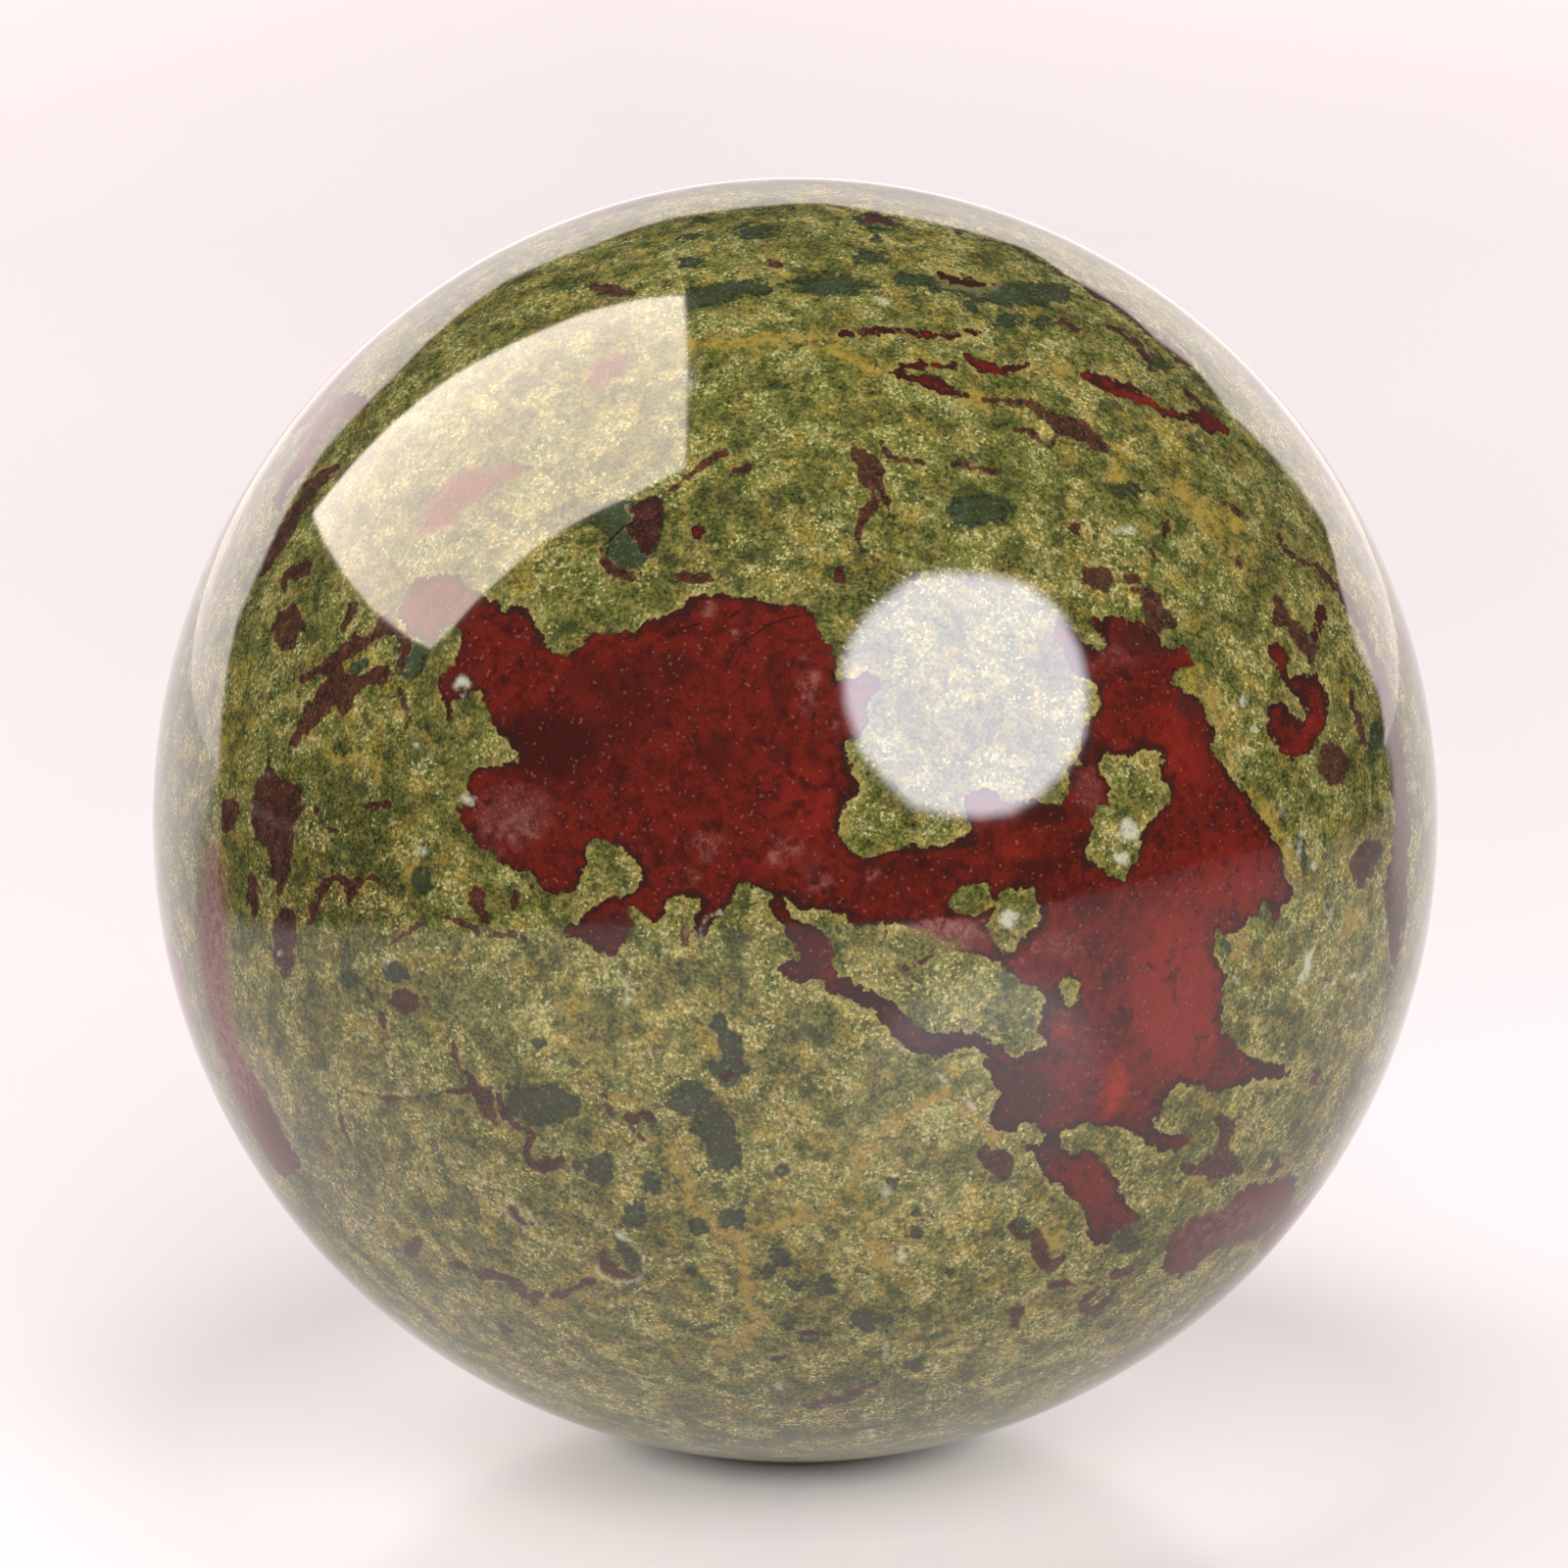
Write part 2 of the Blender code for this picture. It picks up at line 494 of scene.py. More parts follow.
JASPER_PATCHES = {
    "great patch": (
        (410, 618), (420, 600), (436, 588), (455, 584), (470, 590), (478, 601), (490, 608), (503, 612),
        (510, 618), (516, 622), (525, 616), (535, 622), (541, 628), (546, 634), (552, 645), (559, 659),
        (568, 667), (576, 668), (590, 660), (597, 650), (610, 647), (640, 645), (652, 642), (664, 634),
        (676, 628), (688, 625), (700, 620), (705, 611), (712, 608), (735, 606), (765, 609), (780, 612),
        (800, 617), (820, 617), (831, 634), (842, 650), (852, 667), (853, 685), (857, 704), (862, 694),
        (880, 688), (897, 694), (892, 708), (884, 722), (886, 738), (876, 752), (866, 754), (861, 765),
        (868, 783), (874, 798), (874, 811), (861, 822), (856, 837), (857, 852), (863, 863), (874, 874),
        (890, 876), (903, 870), (940, 863), (961, 861), (979, 857), (990, 850), (988, 835), (985, 815),
        (1000, 805), (1015, 808), (1025, 820), (1045, 818), (1065, 820), (1082, 818), (1092, 808),
        (1094, 795), (1090, 785), (1096, 775), (1104, 765), (1100, 752), (1104, 742), (1116, 735),
        (1122, 715), (1118, 705), (1108, 697), (1102, 690), (1092, 680), (1084, 665), (1076, 650),
        (1074, 640), (1080, 634), (1090, 640), (1098, 648), (1105, 655), (1115, 662), (1126, 660),
        (1120, 645), (1115, 635), (1122, 630), (1139, 631), (1161, 634), (1174, 645), (1187, 658),
        (1209, 661), (1216, 678), (1200, 685), (1197, 698), (1205, 704), (1218, 709), (1231, 720),
        (1233, 733), (1240, 741), (1236, 767), (1255, 792), (1271, 811), (1284, 831), (1290, 843),
        (1303, 862), (1311, 882), (1313, 901), (1325, 913), (1313, 920), (1305, 930), (1300, 938),
        (1297, 925), (1288, 922), (1281, 933), (1265, 949), (1252, 955), (1242, 950), (1238, 958),
        (1237, 970), (1242, 980), (1245, 985), (1249, 996), (1247, 1022), (1247, 1041), (1255, 1061),
        (1271, 1076), (1287, 1081), (1303, 1086), (1314, 1094), (1308, 1102), (1287, 1102), (1271, 1105),
        (1255, 1112), (1239, 1113), (1223, 1110), (1214, 1107), (1205, 1105), (1198, 1110), (1188, 1124),
        (1182, 1137), (1177, 1150), (1191, 1156), (1207, 1160), (1214, 1163), (1204, 1171), (1191, 1174),
        (1172, 1169), (1159, 1156), (1143, 1151), (1121, 1147), (1102, 1145), (1092, 1153), (1086, 1166),
        (1088, 1175), (1095, 1180), (1105, 1173), (1118, 1178), (1128, 1190), (1138, 1205), (1142, 1218),
        (1150, 1228), (1160, 1240), (1152, 1250), (1138, 1257), (1130, 1268), (1118, 1268), (1112, 1258),
        (1108, 1240), (1106, 1228), (1095, 1224), (1085, 1213), (1070, 1203), (1062, 1195), (1058, 1185),
        (1048, 1169), (1038, 1155), (1016, 1152), (1008, 1140), (1016, 1126), (1019, 1110), (1010, 1096),
        (1003, 1080), (1012, 1078), (1025, 1082), (1045, 1077), (1060, 1073), (1066, 1066), (1060, 1052),
        (1062, 1036), (1067, 1022), (1060, 1010), (1045, 1002), (1035, 994), (1020, 984), (1000, 973),
        (975, 968), (952, 972), (940, 984), (922, 990), (905, 986), (903, 965), (905, 946), (901, 940),
        (878, 945), (869, 941), (853, 929), (834, 928), (821, 930), (808, 920), (795, 913), (776, 908),
        (757, 901), (752, 906), (748, 917), (741, 925), (730, 938), (722, 952), (712, 956), (705, 948),
        (710, 938), (713, 928), (708, 917), (697, 911), (686, 916), (677, 928), (675, 938), (668, 943),
        (660, 940), (655, 930), (647, 924), (642, 930), (646, 945), (639, 961), (628, 974), (617, 974),
        (601, 962), (588, 957), (578, 955), (582, 946), (592, 938), (598, 930), (607, 922), (617, 917),
        (638, 913), (651, 905), (655, 897), (654, 887), (643, 881), (652, 876), (638, 868), (623, 859),
        (610, 858), (601, 864), (597, 879), (594, 894), (589, 905), (577, 911), (562, 909), (551, 903),
        (542, 893), (537, 887), (522, 889), (514, 881), (507, 871), (500, 867), (492, 868), (483, 856),
        (472, 843), (470, 828), (472, 818), (479, 808), (478, 797), (484, 788), (495, 783), (508, 780),
        (526, 778), (526, 770), (518, 754), (507, 746), (501, 733), (496, 720), (490, 706), (480, 711),
        (468, 713), (461, 722), (458, 733), (454, 718), (450, 703), (448, 691), (456, 685), (463, 676),
        (467, 665), (471, 653), (468, 643), (460, 638), (450, 645), (440, 655), (425, 650), (412, 636),
    ),
    "under the square lamp": (
        (438, 512), (452, 497), (466, 484), (500, 478), (530, 474), (545, 478), (515, 488), (498, 500),
        (478, 512), (470, 528), (455, 538), (440, 540), (425, 548), (430, 530),
    ),
    "under the lamp, small": ((600, 385), (612, 368), (630, 362), (640, 370), (625, 385), (610, 398)),
    "left limb": (
        (212, 870), (222, 865), (228, 900), (230, 950), (232, 1000), (236, 1040), (248, 1075), (262, 1100),
        (280, 1135), (295, 1165), (305, 1190), (285, 1200), (270, 1185), (252, 1150), (235, 1110),
        (222, 1070), (210, 1030), (203, 980), (204, 930),
    ),
    "lobed, right": (
        (1296, 660), (1305, 657), (1312, 665), (1313, 680), (1318, 690), (1330, 690), (1342, 690),
        (1350, 700), (1356, 720), (1354, 740), (1345, 752), (1338, 765), (1326, 772), (1315, 772),
        (1303, 765), (1298, 750), (1293, 738), (1295, 722), (1303, 718), (1316, 728), (1325, 735),
        (1332, 730), (1330, 722), (1322, 712), (1316, 703), (1308, 692), (1302, 680), (1296, 672),
    ),
    "lower right": (
        (1188, 1282), (1192, 1268), (1200, 1256), (1210, 1248), (1225, 1240), (1245, 1234), (1255, 1226),
        (1265, 1215), (1280, 1208), (1300, 1205), (1322, 1200), (1318, 1225), (1300, 1250), (1285, 1262),
        (1265, 1270), (1245, 1275), (1225, 1287), (1205, 1302), (1192, 1300), (1185, 1292),
    ),
    "upper left rim": (
        (345, 405), (365, 402), (375, 415), (350, 425), (330, 445), (318, 470), (300, 490), (285, 520),
        (280, 510), (295, 480), (310, 455), (325, 425),
    ),
    "strip down to the vein": (
        (786, 912), (790, 940), (800, 945), (812, 965), (818, 978), (800, 980), (796, 990), (808, 1002),
        (830, 998), (845, 1000), (850, 1010), (858, 1000), (850, 985), (849, 965), (840, 952), (820, 942),
        (805, 932), (797, 910),
    ),
}
JASPER_VEINS = {
    "vein under the islet": (
        (850, 1005, 8), (869, 1010, 8), (888, 1020, 9), (907, 1033, 11), (926, 1054, 12), (945, 1066, 12),
        (962, 1064, 11), (980, 1060, 8), (998, 1065, 6), (1016, 1076, 8), (1030, 1085, 9),
    ),
    "top line": (
        (862, 340, 2), (875, 341, 4), (890, 337, 3), (905, 336, 4), (930, 338, 3), (945, 341, 3),
        (960, 342, 2), (985, 340, 1.5), (1000, 338, 2),
    ),
    "top dash": (
        (912, 381, 2), (925, 385, 4), (940, 388, 5), (955, 393, 6), (965, 397, 5), (980, 402, 3),
        (985, 405, 1.5),
    ),
    "top thread": (
        (912, 380, 1.5), (922, 374, 2), (935, 372, 3), (950, 373, 2), (965, 374, 3), (975, 373, 2),
    ),
    "upper dash": (
        (988, 363, 2), (993, 368, 5), (1003, 373, 5), (1012, 377, 5), (1020, 379, 5), (1028, 375, 3),
        (1042, 374, 3), (1048, 375, 1.5),
    ),
    "bright dash": (
        (1105, 382, 2), (1113, 383, 6), (1122, 388, 8), (1132, 393, 9), (1142, 397, 8), (1152, 401, 7),
        (1162, 406, 6), (1172, 409, 4), (1182, 416, 3), (1192, 421, 4), (1202, 424, 3),
    ),
    "bright dash, end": ((1206, 421, 3), (1216, 424, 6), (1228, 429, 8), (1240, 434, 7), (1250, 439, 4)),
    "crown dash": ((960, 282, 2), (972, 285, 4), (985, 287, 4), (1000, 290, 3), (1012, 291, 2)),
    "right fleck": ((1350, 622, 4), (1346, 635, 5), (1342, 648, 4)),
}
JASPER_SPOTS = ((712, 544, 6, 6, 0),)

# Green stone that shows through the jasper patches.
ISLETS = {
    "over the long islet": (
        (902, 947), (915, 943), (935, 949), (955, 957), (975, 962), (965, 972), (940, 980), (915, 990),
        (902, 985),
    ),
    "long islet": (
        (1122, 776), (1131, 770), (1153, 770), (1166, 765), (1181, 763), (1186, 775), (1184, 787),
        (1192, 798), (1196, 809), (1190, 824), (1181, 831), (1174, 839), (1166, 848), (1163, 863),
        (1160, 880), (1153, 885), (1146, 897), (1139, 892), (1126, 892), (1118, 881), (1109, 874),
        (1111, 861), (1114, 842), (1118, 824), (1131, 818), (1133, 807), (1129, 796), (1122, 787),
    ),
    "yellow islet": (
        (968, 922), (974, 910), (985, 902), (1000, 900), (1010, 905), (1012, 918), (1008, 928), (997, 937),
        (985, 934), (975, 930),
    ),
    "pale islet": (
        (1018, 925), (1022, 912), (1035, 906), (1050, 904), (1058, 912), (1060, 930), (1058, 945),
        (1048, 955), (1040, 965), (1030, 974), (1020, 968), (1012, 955), (1005, 945), (1012, 935),
    ),
    "small yellow islet": (
        (1080, 1008), (1088, 1000), (1098, 1002), (1102, 1015), (1097, 1027), (1086, 1026),
    ),
    "bay by the round lamp": ((1100, 700), (1110, 695), (1121, 704), (1122, 722), (1114, 737), (1103, 742)),
    "strip by the round lamp": ((1095, 730), (1105, 732), (1106, 755), (1101, 780), (1095, 778)),
}
ISLET_SPOTS = ((1252, 966, 13, 13, 0), (1051, 1156, 14, 11, 30), (1095, 1163, 12, 14, 0))

MAROON_PATCHES = {
    "left spot": (
        (300, 614), (306, 622), (311, 638), (313, 645), (303, 648), (300, 660), (288, 663), (279, 655),
        (278, 642), (282, 630), (290, 620),
    ),
    "left spot, upper": (
        (285, 590), (296, 580), (308, 570), (315, 568), (318, 578), (308, 590), (296, 594), (290, 604),
    ),
    "left drop": ((349, 640), (352, 628), (358, 616), (365, 612), (367, 622), (360, 632), (353, 643)),
    "left sweep": (
        (383, 638), (392, 628), (402, 632), (413, 645), (420, 657), (416, 670), (412, 682), (404, 676),
        (408, 662), (402, 650), (391, 648), (383, 656), (372, 664), (360, 669), (351, 677), (353, 688),
        (364, 690), (376, 684), (390, 680), (402, 684), (398, 695), (388, 703), (378, 698), (370, 704),
        (362, 714), (357, 726), (350, 732), (344, 728), (342, 720), (336, 728), (328, 736), (316, 746),
        (307, 757), (299, 765), (299, 750), (307, 738), (310, 722), (320, 711), (326, 698), (333, 689),
        (322, 690), (312, 696), (305, 702), (307, 692), (316, 683), (328, 677), (337, 667), (346, 660),
        (357, 655), (360, 645), (367, 650), (376, 650),
    ),
    "left mottle": (
        (265, 790), (275, 770), (280, 790), (300, 800), (310, 805), (306, 830), (300, 850), (297, 880),
        (290, 905), (283, 920), (276, 880), (268, 862), (256, 842), (258, 815),
    ),
    "left fleck": ((226, 818), (240, 815), (244, 828), (236, 845), (226, 848)),
    "left drop, low": (
        (284, 930), (300, 928), (302, 945), (300, 970), (298, 990), (290, 998), (281, 985), (277, 960),
    ),
    "left needle": ((252, 895), (262, 895), (264, 920), (260, 935), (252, 915)),
    "dark drop": (
        (481, 905), (488, 903), (495, 915), (497, 935), (501, 944), (492, 940), (484, 930), (479, 918),
    ),
    "low left drop": (
        (476, 1100), (484, 1096), (489, 1106), (500, 1108), (505, 1125), (508, 1140), (512, 1155),
        (503, 1150), (493, 1138), (484, 1122), (478, 1112),
    ),
    "crescent": (
        (517, 1232), (521, 1228), (526, 1232), (529, 1240), (537, 1246), (546, 1248), (545, 1252),
        (538, 1252), (528, 1249), (520, 1242),
    ),
    "curl": (
        (637, 1137), (648, 1136), (655, 1132), (664, 1134), (670, 1142), (668, 1150), (660, 1146),
        (655, 1140), (650, 1150), (655, 1160), (668, 1165), (671, 1167), (660, 1166), (650, 1160),
        (642, 1150), (636, 1142),
    ),
    "under the vein": (
        (998, 1176), (1006, 1171), (1020, 1173), (1032, 1178), (1036, 1190), (1032, 1200), (1022, 1206),
        (1014, 1202), (1006, 1194), (1000, 1186),
    ),
    "hook by the lower right": (
        (1237, 1142), (1248, 1138), (1260, 1146), (1262, 1155), (1256, 1168), (1258, 1178), (1266, 1188),
        (1270, 1196), (1258, 1200), (1240, 1203), (1225, 1200), (1210, 1197), (1204, 1190), (1208, 1186),
        (1218, 1188), (1226, 1184), (1234, 1176), (1240, 1165), (1243, 1155),
    ),
    "dark, over the right arm": (
        (1156, 600), (1178, 598), (1184, 605), (1190, 618), (1198, 630), (1202, 640), (1188, 643),
        (1180, 648), (1172, 642), (1168, 630), (1166, 615),
    ),
    "ring": ((1105, 580), (1115, 577), (1128, 579), (1137, 592), (1130, 603), (1115, 602), (1106, 592)),
    "right curl": (
        (1300, 606), (1306, 608), (1315, 620), (1320, 632), (1332, 642), (1342, 652), (1345, 665),
        (1340, 680), (1335, 672), (1328, 663), (1318, 650), (1316, 640), (1306, 640), (1298, 637),
        (1300, 620),
    ),
    "right brown": (
        (1346, 770), (1352, 756), (1362, 757), (1372, 765), (1378, 780), (1370, 795), (1360, 803),
        (1350, 795), (1345, 783),
    ),
    "right limb": (
        (1378, 880), (1385, 865), (1397, 857), (1408, 860), (1410, 870), (1402, 885), (1395, 900),
        (1387, 908), (1380, 895),
    ),
    "leaf": (
        (871, 454), (876, 458), (885, 461), (893, 466), (900, 475), (901, 490), (900, 500), (892, 500),
        (880, 498), (876, 490), (873, 478), (870, 465),
    ),
    "crown ring": ((602, 298), (606, 290), (618, 286), (628, 292), (640, 298), (624, 301)),
    "crown spot": ((782, 266), (792, 263), (800, 270), (795, 275), (788, 272)),
    "under the lamp": (
        (648, 513), (662, 506), (674, 508), (677, 520), (675, 535), (672, 549), (664, 562), (656, 566),
        (650, 556), (642, 548), (638, 540), (646, 528), (641, 520),
    ),
    "upper left strip": (
        (345, 475), (335, 490), (322, 505), (305, 530), (292, 555), (275, 580), (265, 590), (268, 570),
        (280, 545), (295, 520), (312, 495), (330, 478),
    ),
    "over the green blob": ((882, 218), (896, 216), (908, 222), (912, 230), (898, 228), (886, 226)),
}
MAROON_VEINS = {
    "left arch": (
        (318, 940, 4), (322, 925, 5), (328, 910, 5), (336, 898, 4), (346, 896, 4), (355, 902, 4),
        (358, 920, 5), (362, 905, 4), (372, 897, 3), (385, 896, 2),
    ),
    "left bead": ((526, 908, 3), (525, 920, 4), (523, 928, 2)),
    "half moon": ((614, 1278, 4), (616, 1290, 7), (626, 1298, 6), (640, 1303, 4), (650, 1304, 3)),
    "under the lamp, rim": (
        (614, 560, 2), (616, 573, 4), (624, 582, 5), (636, 587, 4), (645, 589, 4), (652, 586, 2),
    ),
    "sweep twig": ((408, 704, 2), (413, 716, 3), (416, 730, 3), (415, 742, 4)),
    "middle thread": (
        (452, 936, 1.5), (466, 940, 3), (478, 946, 4), (489, 952, 4), (505, 953, 3), (518, 954, 4),
        (530, 953, 2), (537, 962, 1.5), (548, 968, 2),
    ),
    "short bead": ((538, 888, 2), (541, 900, 3), (545, 912, 2)),
    "left dash": ((402, 960, 2), (412, 953, 3), (422, 947, 3), (433, 943, 2)),
    "left hook": ((323, 824, 2), (327, 836, 2), (333, 845, 2), (342, 847, 2)),
    "left dot": ((374, 822, 2), (384, 822, 4), (394, 821, 3)),
    "left thread": ((374, 1008, 1.5), (384, 1027, 2), (393, 1048, 3)),
    "drop thread": ((463, 1065, 2), (465, 1080, 4), (470, 1094, 4)),
    "drop bar": ((457, 1114, 1.5), (468, 1115, 2), (480, 1112, 3)),
    "fine line": ((355, 1112, 1.2), (380, 1118, 1.2), (403, 1121, 1.2), (430, 1119, 1.2), (457, 1115, 1.2)),
    "fine line, down": ((345, 1118, 1.2), (349, 1147, 1.4), (358, 1172, 1.2)),
    "snake": (
        (522, 1110, 2), (512, 1112, 2), (509, 1122, 2.5), (513, 1136, 3), (522, 1146, 3), (535, 1153, 3),
        (545, 1157, 3), (540, 1165, 3), (537, 1176, 3), (543, 1187, 4), (550, 1191, 6), (560, 1187, 8),
        (570, 1184, 5), (575, 1184, 2),
    ),
    "low run": ((460, 1288, 3), (472, 1292, 3), (476, 1297, 1.5)),
    "low run, middle": (
        (485, 1298, 3), (495, 1302, 5), (510, 1303, 5), (522, 1305, 4), (532, 1312, 4), (545, 1318, 3),
        (558, 1322, 3), (572, 1322, 4), (584, 1316, 4), (596, 1309, 5), (605, 1306, 3),
    ),
    "low run, branch": ((524, 1310, 5), (535, 1320, 5), (545, 1328, 3)),
    "foot dash": ((506, 1350, 3), (515, 1355, 4), (520, 1360, 2)),
    "curl thread": ((618, 1118, 3), (620, 1128, 3), (624, 1140, 2)),
    "horseshoe": (
        (1030, 1250, 3), (1034, 1258, 3), (1044, 1262, 3), (1056, 1262, 8), (1060, 1275, 8),
        (1064, 1286, 8), (1070, 1293, 8), (1080, 1288, 4), (1087, 1280, 2),
    ),
    "low right dash": ((1104, 1336, 4), (1114, 1338, 6), (1124, 1332, 4), (1130, 1326, 3), (1138, 1319, 2)),
    "low right thread": ((1102, 1330, 2), (1110, 1322, 3), (1120, 1316, 2)),
    "low right fleck": ((1133, 1302, 4), (1145, 1298, 6), (1155, 1294, 4)),
    "low right bead": ((1072, 1312, 3), (1081, 1311, 4), (1090, 1308, 3)),
    "right bead": ((1296, 1196, 5), (1302, 1186, 5)),
    "right bead, upper": ((1340, 1105, 4), (1346, 1092, 3)),
    "arm bead": ((1150, 590, 4), (1160, 590, 4)),
    "right thread": ((1378, 708, 2), (1383, 725, 3), (1388, 745, 4), (1392, 760, 2)),
    "right limb vein": (
        (1304, 550, 3), (1312, 562, 4), (1322, 568, 3), (1335, 577, 2), (1345, 577, 3), (1352, 585, 4),
        (1362, 597, 5), (1372, 608, 5), (1380, 620, 5), (1392, 645, 5), (1400, 665, 4), (1412, 700, 7),
        (1420, 740, 7), (1428, 800, 8), (1430, 860, 8), (1424, 904, 12), (1425, 950, 8), (1422, 980, 5),
    ),
    "upper bead": ((1193, 528, 3), (1189, 538, 4), (1187, 546, 3)),
    "upper bead, right": ((1250, 514, 3), (1262, 521, 3), (1272, 528, 2)),
    "upper bead, low": ((1173, 560, 3), (1178, 568, 3)),
    "upper bead, low right": ((1263, 570, 3), (1266, 580, 3)),
    "crown ring end": ((634, 300, 2), (642, 297, 3), (648, 299, 2)),
    "dark vein": (
        (1005, 408, 2), (1015, 409, 4), (1025, 408, 3), (1040, 411, 4), (1052, 413, 5), (1062, 420, 5),
        (1073, 427, 6), (1083, 434, 9), (1095, 436, 10), (1106, 443, 10), (1117, 449, 7), (1125, 456, 6),
        (1132, 462, 3),
    ),
    "dark vein, below": (
        (1036, 440, 2), (1046, 438, 3), (1054, 443, 2), (1064, 452, 3), (1070, 457, 3), (1076, 450, 2),
        (1080, 443, 1.5),
    ),
    "crown thread": (
        (1120, 332, 1.5), (1135, 336, 2), (1150, 343, 3), (1163, 352, 3), (1166, 362, 3), (1175, 372, 3),
    ),
    "crown thread, right": ((1208, 398, 2), (1218, 406, 3), (1228, 414, 3), (1236, 420, 2)),
    "crown dash": ((1078, 326, 2), (1088, 330, 4), (1096, 335, 4), (1102, 336, 2)),
    "leaf stalk": (
        (890, 500, 4), (893, 515, 4), (887, 520, 7), (880, 530, 5), (876, 545, 4), (880, 560, 3),
        (892, 572, 3),
    ),
    "leaf bit": ((898, 500, 3), (905, 512, 3), (908, 522, 2)),
    "leaf twig": (
        (900, 452, 2), (906, 462, 3), (915, 467, 4), (926, 469, 3), (938, 471, 3), (950, 473, 1.5),
    ),
    "leaf twig, right": (
        (972, 476, 2), (982, 473, 5), (990, 477, 2), (1003, 478, 3), (1015, 481, 3), (1020, 478, 2),
    ),
    "lamp edge line": (
        (742, 459, 2), (734, 465, 4), (722, 471, 3), (710, 480, 3), (698, 490, 3), (688, 498, 3),
        (680, 502, 2),
    ),
    "over the great patch": ((690, 588, 3), (706, 590, 6), (725, 590, 4)),
    "small bead": ((750, 480, 3), (762, 478, 4)),
    "crown limb line": (
        (1052, 262, 1), (1075, 275, 1.5), (1096, 285, 2), (1120, 300, 3), (1137, 310, 4), (1160, 328, 3),
        (1180, 343, 3), (1195, 355, 3), (1205, 365, 5), (1215, 372, 3),
    ),
    "foot curl": ((779, 1388, 2), (785, 1390, 2.5), (795, 1385, 3), (803, 1381, 3), (812, 1377, 1.5)),
    "foot curl, upper": ((821, 1360, 1.5), (830, 1359, 2), (840, 1362, 2), (848, 1364, 1.5)),
    "foot sweep": ((820, 1434, 3), (845, 1431, 5), (862, 1426, 6), (880, 1417, 5), (895, 1412, 3)),
}
MAROON_SPOTS = (
    (412, 1022, 14, 14, 0), (422, 1273, 8, 10, 0), (1038, 1343, 6, 12, 0), (741, 1098, 6, 5, 0),
    (755, 1082, 5, 4, 0), (856, 587, 7, 7, 0), (1097, 540, 9, 6, 30), (700, 952, 5, 12, 10),
    (930, 590, 7, 4, 20),
)

DARK_GREEN_PATCHES = {
    "bean": (
        (678, 1128), (682, 1116), (692, 1108), (705, 1105), (718, 1107), (727, 1116), (735, 1126),
        (745, 1137), (750, 1150), (755, 1165), (758, 1180), (752, 1190), (742, 1196), (730, 1194),
        (724, 1186), (722, 1175), (716, 1160), (706, 1156), (699, 1153), (709, 1147), (700, 1138),
        (690, 1138), (682, 1132),
    ),
    "over the bean": (
        (718, 1044), (728, 1038), (735, 1034), (742, 1040), (748, 1050), (757, 1058), (760, 1072),
        (764, 1082), (772, 1090), (760, 1096), (754, 1108), (745, 1113), (736, 1110), (730, 1100),
        (722, 1096), (716, 1088), (718, 1078), (726, 1082), (735, 1080), (733, 1068), (730, 1055),
        (722, 1048),
    ),
    "left of the bean": (
        (513, 1128), (520, 1112), (527, 1105), (540, 1108), (552, 1107), (565, 1105), (578, 1112),
        (590, 1118), (594, 1130), (588, 1140), (572, 1145), (558, 1148), (545, 1150), (533, 1144),
        (522, 1138),
    ),
    "crown lens": (
        (697, 300), (710, 293), (730, 287), (755, 284), (775, 286), (792, 297), (780, 301), (755, 305),
        (735, 312), (715, 315), (700, 318),
    ),
    "crown blob": (
        (868, 222), (878, 217), (893, 214), (905, 220), (920, 226), (915, 234), (900, 232), (890, 238),
        (882, 232), (874, 228),
    ),
    "under the lamp": (
        (593, 533), (605, 523), (617, 514), (630, 509), (648, 508), (664, 503), (676, 508), (679, 520),
        (677, 540), (673, 558), (664, 571), (652, 577), (644, 584), (630, 583), (620, 578), (616, 565),
        (620, 554), (618, 542), (606, 538),
    ),
    "end of the sweep": (
        (404, 662), (414, 655), (428, 656), (438, 664), (436, 676), (430, 688), (420, 697), (410, 692),
        (402, 680),
    ),
    "in the sweep": ((354, 678), (364, 672), (374, 672), (376, 680), (366, 688), (356, 688)),
    "over the great patch": ((680, 585), (690, 582), (697, 588), (692, 598), (682, 596)),
    "low, with the crescent": (
        (628, 1262), (640, 1268), (652, 1278), (654, 1290), (648, 1300), (640, 1296), (634, 1284),
        (628, 1270),
    ),
    "core of the horseshoe": ((1033, 1244), (1046, 1243), (1052, 1250), (1046, 1257), (1036, 1255)),
}
DARK_GREEN_VEINS = {
    "crown band": (
        (920, 284, 8), (950, 288, 9), (985, 296, 9), (1020, 300, 12), (1060, 300, 14), (1085, 300, 8),
    ),
    "crown dash": ((968, 232, 2), (980, 235, 4), (994, 237, 2)),
    "crown dash, right": ((1035, 252, 2), (1043, 256, 4), (1052, 260, 2)),
}
